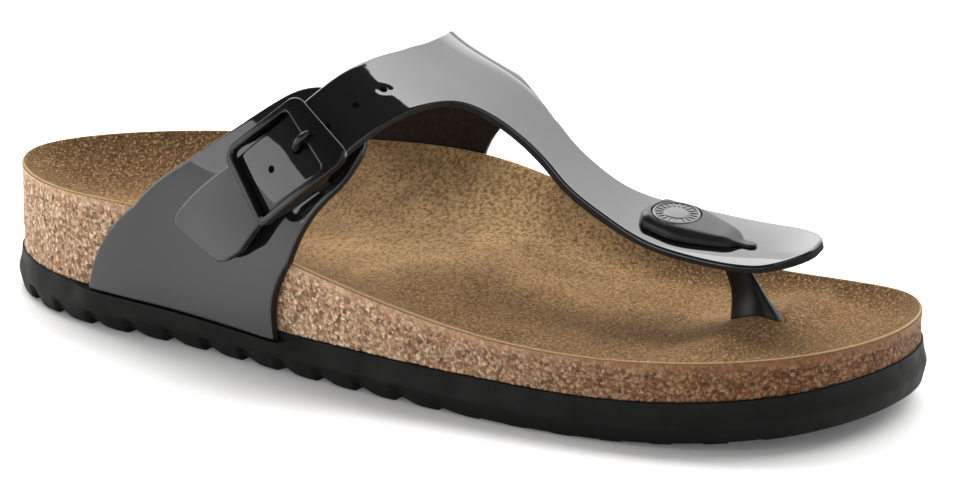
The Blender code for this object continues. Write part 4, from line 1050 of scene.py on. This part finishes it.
# The toe strap's outer edge rolls down towards its foot, which draws a bright line along it.
roll_from, roll_to = TOE_STRAP.place("foot"), TOE_STRAP.place("cap")
rolled = smooth_step((steps - roll_from) / (roll_to - roll_from))[:, None]
rolled *= smooth_step((TOE_STRAP.length - steps) / TOE_END[0])[:, None]
toe_relief = -TOE_ROLL_DROP * rolled * np.clip(1 - toe_shares / TOE_ROLL_SHARE, 0, 1) ** 2
relief_heights = np.r_[band_relief.ravel(), toe_relief.ravel()]
strap = leather_piece("strap_leather", along, girth, lift, relief_heights, faces, leather_finishes)

# Toe post stem: name, share of its height, half width across, back along, front along
POST_ROWS = [
    ("foot", 0.00, 3.0, 203.4, 217.6),
    ("ankle", 0.16, 2.1, 203.6, 214.0),
    ("shin", 0.38, 1.6, 203.3, 211.0),
    ("neck", 0.70, 1.5, 201.0, 208.0),
    ("top", 1.00, 1.5, 200.2, 206.8),
]
# How far in its foot stands from its slot, how late it bends out, and the slot's share across the strap
POST_LEAN = -3.0
POST_BEND = 3
POST_SHARE = 0.44
POST_SIDES = 40
POST_LEVELS = 28


def post_ring(share, half_across, back, front):
    """Places across and along of an oval ring of the stem, which leans out from its foot to the slot."""
    _, _, _, top_back, top_front = POST_ROWS[-1]
    slot = TOE_STRAP.point(TOE_STRAP.place_at((top_back + top_front) / 2), POST_SHARE)
    middle = slot[0] + POST_LEAN * (1 - share ** POST_BEND)
    turns = np.linspace(0, 2 * math.pi, POST_SIDES, endpoint=False)
    across = middle + half_across * np.cos(turns)
    return across, (back + front) / 2 + (front - back) / 2 * np.sin(turns)


def toe_strap_height(across, along, offset):
    """Height of the toe strap's inner face near the post, plus an offset, as a flat patch."""
    point, _, _, normal = TOE_STRAP.station(TOE_STRAP.place_at(np.mean(along)))
    return point[2] + (offset - (across - point[0]) * normal[0] - (along - point[1]) * normal[1]) / normal[2]


_, _, half, back, front = POST_ROWS[-1]
across, along = post_ring(1.0, half + SLOT_CLEARANCE, back - SLOT_CLEARANCE, front + SLOT_CLEARANCE)
middle = toe_strap_height(across, along, 0)
slot_cutter = loft(np.stack([np.stack([across, along, middle + z], -1) for z in SLOT_REACH]))
punches = [punch(BUCKLE_PLACE + BRIDGE_PLACE, PRONG_HOLE_RADIUS)]
# The holes that aren't in use stop short of the flesh side: their dark floor of cut edge is painted shade
# inside them.
for place in HOLE_PLACES:
    _, _, lift_there = BAND.at(np.array([place]), 0.5)
    punches.append(punch(place, HOLE_RADIUS, (lift_there[0] + HOLE_SHADE_FLOOR, PUNCH_REACH[1])))
combine(strap, punches + [slot_cutter], "DIFFERENCE", CUT_EDGE)
fit(strap, "upper_strap")

# Buckle frame: a die-cast frame under black paint, with one wide bar for the prong to lie on.
# Its side bars dip to a bridge bar under the strap, which the quarter's leather holds.
BUCKLE_LENGTH = 23.6
BUCKLE_WIDTH = 22.2
BUCKLE_SIDE_BAR = 1.75
BUCKLE_END_BAR = 2.0
BUCKLE_WIDE_BAR = 4.8
BUCKLE_THICKNESS = 2.2
BUCKLE_ROUND = 0.5
BUCKLE_CORNER = 3.0
BRIDGE_LENGTH = 3.0
BRIDGE_THICKNESS = 1.4
BRIDGE_INSET = 0.2
BRIDGE_ROWS = 3
CHEEK_LENGTH = 17.0
CHEEK_DEPTH = 2.4
CHEEK_ROWS = 15
CORNER_POINTS = 14
STRAIGHT_POINTS = 8
ROUND_POINTS = 6

# Black paint on a casting: satin, with slight orange peel, drawn coarser than real.
painted_casting, tree, shader = start_finish(
    "painted_casting", Base_Color=linear("#0b0b0b"), IOR=1.5, Specular_IOR_Level=0.38, Roughness=0.24)
fine_grain(tree, shader, size=0.9, detail=2.0, strength=0.2, depth=0.05)


def buckle_point(forward, across, height):
    """Point beside the buckle's middle: along the band, across it and off the foot form."""
    point, _, side, normal = band_station(BUCKLE_PLACE + forward)
    return point + side * across + normal * height


def rounded_frame(back, front, half_width, corner):
    """Rounded rectangle in the buckle's plane, as places along and across the band."""
    side, low, high = half_width - corner, back + corner, front - corner
    centres = [(high, side), (low, side), (low, -side), (high, -side)]
    points = []
    for quarter_turn, (forward, across) in enumerate(centres):
        for turn in math.pi / 2 * (quarter_turn + np.linspace(0, 1, CORNER_POINTS)):
            points.append((forward + corner * math.cos(turn), across + corner * math.sin(turn)))
        following = centres[(quarter_turn + 1) % 4]
        turn = math.pi / 2 * (quarter_turn + 1)
        for share in np.linspace(0, 1, STRAIGHT_POINTS + 2)[1:-1]:
            centre = [a + (b - a) * share for a, b in zip((forward, across), following)]
            points.append((centre[0] + corner * math.cos(turn), centre[1] + corner * math.sin(turn)))
    return points


low = BUCKLE_LIFT + LEATHER + GAP
high = low + BUCKLE_THICKNESS
half_length, half_width = BUCKLE_LENGTH / 2, BUCKLE_WIDTH / 2
window_back, window_front = -half_length + BUCKLE_END_BAR, half_length - BUCKLE_WIDE_BAR
window_half = half_width - BUCKLE_SIDE_BAR
turns = np.linspace(0, math.pi / 2, ROUND_POINTS)
shoulder = [(BUCKLE_ROUND * (1 - math.cos(t)), high - BUCKLE_ROUND * (1 - math.sin(t))) for t in turns]
rings = []
for inset_by, height in [(0.0, low)] + shoulder:
    sizes = inset_by - half_length, half_length - inset_by, half_width - inset_by, BUCKLE_CORNER
    rings.append([buckle_point(*spot_at, height) for spot_at in rounded_frame(*sizes)])
for inset_by, height in shoulder[::-1] + [(0.0, low)]:
    sizes = window_back - inset_by, window_front + inset_by, window_half + inset_by, BUCKLE_CORNER / 2
    rings.append([buckle_point(*spot_at, height) for spot_at in rounded_frame(*sizes)])
rings = np.array(rings)
ring_count, point_count = rings.shape[:2]
frame_faces = []
for r in range(ring_count):
    near, far = r * point_count, (r + 1) % ring_count * point_count
    for i in range(point_count):
        j = (i + 1) % point_count
        frame_faces.append([near + i, near + j, far + j, far + i])
buckle = add_piece("buckle_casting", rings.reshape(-1, 3), frame_faces, [painted_casting])

bar_low = LEATHER + GAP
bar_high = bar_low + BRIDGE_THICKNESS
outer, inner = half_width - BRIDGE_INSET, window_half + BRIDGE_INSET
upright = (low + high) / 2
section = [
    (-outer, upright), (-outer, bar_low), (outer, bar_low), (outer, upright),
    (inner, upright), (inner, bar_high), (-inner, bar_high), (-inner, upright),
]
yoke = []
for forward in BRIDGE_PLACE + np.linspace(-BRIDGE_LENGTH / 2, BRIDGE_LENGTH / 2, BRIDGE_ROWS):
    yoke.append([buckle_point(forward, across, height) for across, height in section])
# Each cheek has its full depth over the middle half of its length.
cheeks = []
for near, far in ((-outer, -inner), (inner, outer)):
    cheek = []
    for forward in np.linspace(-CHEEK_LENGTH / 2, CHEEK_LENGTH / 2, CHEEK_ROWS):
        sag = CHEEK_DEPTH * smooth_step(2 - abs(forward) / CHEEK_LENGTH * 4)
        corners = [(near, upright), (near, low - sag), (far, low - sag), (far, upright)]
        cheek.append([buckle_point(forward, across, height) for across, height in corners])
    cheeks.append(loft(np.array(cheek)))
combine(buckle, [loft(np.array(yoke))] + cheeks, "UNION")
fit(buckle, "buckle_frame")

# Buckle prong: a bent steel pin under the same black paint, hinged on the bridge bar.
# It comes up through the strap's hole, and its tip lies on the wide bar.
PRONG_RADIUS = 1.0
PRONG_OVERLAP = 1.8
PRONG_SIDES = 16
PRONG_RINGS = 34

# Prong from the bridge bar to the wide bar: name, share of its reach, of its rise and of its radius
PRONG_ROWS = [
    ("bar", 0.00, 0.000, 1.00),
    ("hole", 0.00, 0.365, 1.00),
    ("knee", 0.08, 0.620, 1.00),
    ("rise", 0.29, 0.825, 1.00),
    ("bar_edge", 0.42, 0.960, 0.95),
    ("shank", 0.79, 1.000, 0.85),
    ("tip", 1.00, 0.984, 0.50),
]
tip, start, over = window_front + PRONG_OVERLAP, bar_high + GAP, high + GAP + PRONG_RADIUS
table = np.array([row[1:] for row in PRONG_ROWS])
path = np.column_stack([
    BRIDGE_PLACE + table[:, 0] * (tip - BRIDGE_PLACE), start + table[:, 1] * (over - start), table[:, 2]])
path_places = np.r_[0, np.cumsum(np.linalg.norm(np.diff(path[:, :2], axis=0), axis=1))]
path = open_spline(path_places, path)(np.linspace(0, path_places[-1], PRONG_RINGS))
slopes = np.gradient(path[:, :2], axis=0)
rings = []
for (forward, height, share), (run, rise) in zip(path, slopes):
    lean = math.atan2(rise, run)
    ring = []
    for turn in np.linspace(0, 2 * math.pi, PRONG_SIDES, endpoint=False):
        up, across = PRONG_RADIUS * share * math.cos(turn), PRONG_RADIUS * share * math.sin(turn)
        ring.append(buckle_point(forward - up * math.sin(lean), across, height + up * math.cos(lean)))
    rings.append(ring)
prong = add_piece("prong_pin", *loft(np.array(rings)), [painted_casting])
fit(prong, "buckle_prong")

# Toe post: one soft black moulding. Its flattened stem stands on the footbed and goes up through the
# strap's slot into a teardrop cap, which has a round recess for the button.
POST_SEAT = 0.25
POST_INTO_CAP = 0.45
CAP_SEAT = 0.1
CAP_EDGE = 0.4
CAP_FLATNESS = 6
CAP_SHOULDER = 0.48
CAP_STEPS = 90
CAP_COLUMNS = 45
# The cap turns outwards from this place along, by this share of the strap's width for each millimetre.
CAP_TURN = (188.0, 0.0042)
BUTTON_ALONG = 188.8
BUTTON_RADIUS = 6.0
BUTTON_DEPTH = 1.65
RECESS_REACH = 6.0
BUTTON_SIDES = 72

# Cap of the toe post on the strap: along, half width, height
CAP_ROWS = np.array([
    (180.2, 2.6, 1.4),
    (181.4, 5.3, 2.6),
    (184.4, 7.2, 3.2),
    (189.0, 7.8, 3.3),
    (193.8, 7.2, 3.2),
    (198.0, 6.0, 2.9),
    (201.9, 4.7, 2.6),
    (205.0, 3.6, 2.2),
    (206.8, 2.5, 1.4),
    (207.8, 1.5, 0.9),
    (209.6, 1.1, 0.75),
    (211.2, 0.95, 0.7),
    (212.0, 0.5, 0.55),
])

# Soft moulding: satin black, slightly grained from the mould, drawn coarser than real.
soft_moulding, tree, shader = start_finish(
    "soft_moulding", Base_Color=linear("#0c0c0c"), IOR=1.5, Specular_IOR_Level=0.3, Roughness=0.36)
fine_grain(tree, shader, size=0.7, detail=2.0, strength=0.25, depth=0.05)

turns = np.linspace(0, math.pi, CAP_STEPS)
cap_along = CAP_ROWS[0, 0] + (CAP_ROWS[-1, 0] - CAP_ROWS[0, 0]) * (1 - np.cos(turns)) / 2
cap_shape = open_spline(CAP_ROWS[:, 0], CAP_ROWS[:, 1:])(cap_along)
cap_middle = 0.5 - CAP_TURN[1] * np.maximum(cap_along - CAP_TURN[0], 0)
places = TOE_STRAP.place_at(cap_along)
cap_columns = -np.cos(np.linspace(0, math.pi, CAP_COLUMNS))
cap_half_shares = cap_shape[:, 0] / TOE_STRAP.width(places)
cap_shares = cap_middle[:, None] + cap_half_shares[:, None] * cap_columns
crown = np.maximum(1 - cap_columns ** CAP_FLATNESS, 0) ** CAP_SHOULDER
cap_height = CAP_EDGE + (cap_shape[:, 1:] - CAP_EDGE) * crown
cap_under = TOE_STRAP.point(places[:, None], cap_shares, LEATHER + CAP_SEAT)
cap_over = TOE_STRAP.point(places[:, None], cap_shares, LEATHER + CAP_SEAT + cap_height)
cap_rings = np.concatenate([cap_over, cap_under[:, ::-1]], axis=1)
post = add_piece("post_and_cap", *loft(cap_rings), [soft_moulding])

table = np.array([row[1:] for row in POST_ROWS])
stem_shape = open_spline(table[:, 0], table)(np.linspace(0, 1, POST_LEVELS))
rings = []
for share, half, back, front in stem_shape:
    across, along = post_ring(share, half, back, front)
    foot = footbed_top(across, along)[0] + POST_SEAT
    top = toe_strap_height(across, along, LEATHER + CAP_SEAT + POST_INTO_CAP)
    rings.append(np.stack([across, along, foot + (top - foot) * share], -1))
combine(post, [loft(np.array(rings))], "UNION")

point, forward, side, normal = TOE_STRAP.station(TOE_STRAP.place_at(BUTTON_ALONG))
cap_there = np.interp(BUTTON_ALONG, CAP_ROWS[:, 0], CAP_ROWS[:, 2])
seat = point + normal * (LEATHER + CAP_SEAT + cap_there - BUTTON_DEPTH)
turns = np.linspace(0, 2 * math.pi, BUTTON_SIDES, endpoint=False)[:, None]
circle = np.cos(turns) * side + np.sin(turns) * forward
recess = np.stack([seat + normal * h + (BUTTON_RADIUS + GAP) * circle for h in (-GAP, RECESS_REACH)])
combine(post, [loft(recess)], "DIFFERENCE")
fit(post, "toe_post")

# Button: a thin metal disc pressed with a raised rim, a plain middle and a ring of short ticks.
# It is lacquered dark grey and set in the cap's round recess.
TICK_COUNT = 20
TICK_RADIUS = 4.25
TICK_SIZE = (1.7, 0.45, 0.3)
TICK_LIFT = 0.02
DISC_FLOOR = 1.32
# Section of the disc: radius and height, from its foot round its rim to its middle
DISC_ROWS = [
    (6.0, 0.0), (6.0, 1.3), (5.9, 1.5), (5.7, 1.62), (5.45, 1.62), (5.3, 1.5), (5.25, DISC_FLOOR),
    (3.15, DISC_FLOOR), (3.05, 1.45), (2.85, 1.55), (2.6, 1.58), (0.05, 1.6),
]

# Pressed button: dark grey metal lacquer, glossier than the cap round it.
pressed_lacquer, tree, shader = start_finish(
    "pressed_lacquer", Base_Color=linear("#4a4a4b"), IOR=1.5, Roughness=0.28)
fine_grain(tree, shader, size=0.6, detail=2.0, strength=0.25, depth=0.05)


def tick_ring_tree():
    """Geometry nodes that set raised ticks round a circle, each pointing to the middle."""
    tree = bpy.data.node_groups.new("tick_ring", "GeometryNodeTree")
    kinds = {
        "Count": "NodeSocketInt", "Radius": "NodeSocketFloat",
        "Size": "NodeSocketVector", "Finish": "NodeSocketMaterial",
    }
    for name, kind in kinds.items():
        tree.interface.new_socket(name, in_out="INPUT", socket_type=kind)
    tree.interface.new_socket("Ticks", in_out="OUTPUT", socket_type="NodeSocketGeometry")
    sizes = add_node(tree, "NodeGroupInput")
    circle = add_node(tree, "GeometryNodeMeshCircle", inputs={
        "Vertices": sizes.outputs["Count"], "Radius": sizes.outputs["Radius"]})
    tick = add_node(tree, "GeometryNodeMeshCube", inputs={"Size": sizes.outputs["Size"]})
    place = add_node(tree, "GeometryNodeInputPosition")
    outwards = add_node(tree, "FunctionNodeAlignRotationToVector", {"axis": "X"}, {
        "Vector": place.outputs["Position"]})
    ticks = add_node(tree, "GeometryNodeInstanceOnPoints", inputs={
        "Points": circle.outputs["Mesh"], "Instance": tick.outputs["Mesh"],
        "Rotation": outwards.outputs["Rotation"]})
    real = add_node(tree, "GeometryNodeRealizeInstances", inputs={"Geometry": ticks.outputs["Instances"]})
    coated = add_node(tree, "GeometryNodeSetMaterial", inputs={
        "Geometry": real.outputs["Geometry"], "Material": sizes.outputs["Finish"]})
    add_node(tree, "NodeGroupOutput", inputs={"Ticks": coated.outputs["Geometry"]})
    return tree


rings = [seat + normal * height + radius * circle for radius, height in DISC_ROWS]
button = add_piece("button_disc", *loft(np.stack(rings)), [pressed_lacquer])
holder = bpy.data.objects.new("tick_holder", bpy.data.meshes.new("tick_holder"))
bpy.context.scene.collection.objects.link(holder)
ring_modifier = holder.modifiers.new("tick_ring", "NODES")
ring_modifier.node_group = tick_ring_tree()
tick_inputs = {
    "Count": TICK_COUNT, "Radius": TICK_RADIUS * MILLIMETRE,
    "Size": [size * MILLIMETRE for size in TICK_SIZE], "Finish": pressed_lacquer,
}
for socket in ring_modifier.node_group.interface.items_tree:
    if socket.in_out == "INPUT":
        ring_modifier[socket.identifier] = tick_inputs[socket.name]
tick_mesh = bpy.data.meshes.new_from_object(holder.evaluated_get(bpy.context.evaluated_depsgraph_get()))
bpy.data.objects.remove(holder, do_unlink=True)
flat = np.array([vertex.co for vertex in tick_mesh.vertices]) / MILLIMETRE
face_height = DISC_FLOOR + TICK_LIFT
tick_points = seat + normal * (face_height + flat[:, 2:]) + flat[:, :1] * side + flat[:, 1:2] * forward
tick_faces = [list(face.vertices) for face in tick_mesh.polygons]
combine(button, [(tick_points, tick_faces)], "UNION")
fit(button, "toe_post_button")

# Studio: a pale sweep, one broad softbox behind on the inner side, a lamp behind the heel, a low card on
# the outer side that the quarter mirrors, and a weak fill from beside the camera.
EYE = np.array([1036.108, 794.836, 389.935])
AIM = np.array([-0.809919, -0.514083, -0.282564])
LENS = 192.86
FLOOR_SIZE = 40.0
# Lights: name, place, aimed at, width, height, radiance
LIGHTS = [
    ("softbox", (-0.98, -0.24, 1.11), (0.0, 0.0, 0.03), 3.5, 1.6, 2.4),
    ("card", (1.24, -1.60, 0.36), (0.02, -0.03, 0.36), 3.4, 0.72, 2.8),
    ("heel_light", (-0.40, -1.06, 1.13), (0.0, 0.0, 0.03), 1.3, 1.3, 2.2),
    ("fill", (1.17, 1.05, 1.23), (0.0, 0.0, 0.03), 1.5, 1.2, 1.2),
]

scene = bpy.context.scene
scene.view_settings.view_transform = "Standard"
camera = bpy.data.objects.new("camera", bpy.data.cameras.new("camera"))
camera.data.lens = LENS
camera.location = (EYE + SHIFT) * MILLIMETRE
camera.rotation_mode = "QUATERNION"
camera.rotation_quaternion = Vector(AIM).to_track_quat("-Z", "Y")
scene.collection.objects.link(camera)
scene.camera = camera

for name, place, target, width, height, radiance in LIGHTS:
    lamp = bpy.data.lights.new(name, "AREA")
    lamp.shape = "RECTANGLE"
    lamp.size, lamp.size_y = width, height
    lamp.energy = radiance * math.pi * width * height
    stand = bpy.data.objects.new(name, lamp)
    stand.location = place
    stand.rotation_mode = "QUATERNION"
    stand.rotation_quaternion = (Vector(target) - Vector(place)).to_track_quat("-Z", "Y")
    scene.collection.objects.link(stand)

# The softbox is brightest at its top, where its lamp sits.
lamp = bpy.data.lights["softbox"]
lamp.use_nodes = True
tree = lamp.node_tree
surface = add_node(tree, "ShaderNodeNewGeometry")
parts = add_node(tree, "ShaderNodeSeparateXYZ", inputs={"Vector": surface.outputs["Parametric"]})
falling = add_node(tree, "ShaderNodeMapRange", inputs={
    "Value": parts.outputs["Y"], "From Min": 0.3, "To Min": 0.85, "To Max": 3.2})
tree.links.new(falling.outputs["Result"], tree.nodes["Emission"].inputs["Strength"])

# Painted sweep: matt, nearly white.
sweep_paint, tree, shader = start_finish(
    "sweep_paint", Base_Color=linear("#f3f3f2"), Roughness=0.8, Emission_Color=linear("#ffffff"),
    Emission_Strength=0.08)
half_floor = FLOOR_SIZE / 2
corners = [(-half_floor, -half_floor, 0), (half_floor, -half_floor, 0), (half_floor, half_floor, 0),
           (-half_floor, half_floor, 0)]
floor_mesh = bpy.data.meshes.new("sweep")
floor_mesh.from_pydata(corners, [], [(0, 1, 2, 3)])
floor_mesh.materials.append(sweep_paint)
floor = bpy.data.objects.new("sweep", floor_mesh)
scene.collection.objects.link(floor)

# Room: pale wall on the inner side, dark above and on the outer side.
room = bpy.data.worlds.new("room")
room.use_nodes = True
scene.world = room
tree = room.node_tree
tree.nodes.clear()
direction = add_node(tree, "ShaderNodeTexCoord").outputs["Generated"]
parts = add_node(tree, "ShaderNodeSeparateXYZ", inputs={"Vector": direction})
side_share = add_node(tree, "ShaderNodeMapRange", {"interpolation_type": "SMOOTHSTEP"}, {
    "Value": parts.outputs["X"], "From Min": -0.5, "From Max": -0.1, "To Min": 0.9, "To Max": 0.06})
low_share = add_node(tree, "ShaderNodeMapRange", {"interpolation_type": "SMOOTHSTEP"}, {
    "Value": parts.outputs["Z"], "From Min": 0.4, "From Max": 0.75, "To Min": 1.0, "To Max": 0.06})
strength = add_node(tree, "ShaderNodeMath", {"operation": "MULTIPLY_ADD"}, {
    0: side_share.outputs["Result"], 1: low_share.outputs["Result"], 2: 0.1})
glow = add_node(tree, "ShaderNodeBackground", inputs={
    "Color": linear("#ffffff"), "Strength": strength.outputs["Value"]})
add_node(tree, "ShaderNodeOutputWorld", inputs={"Surface": glow.outputs["Background"]})
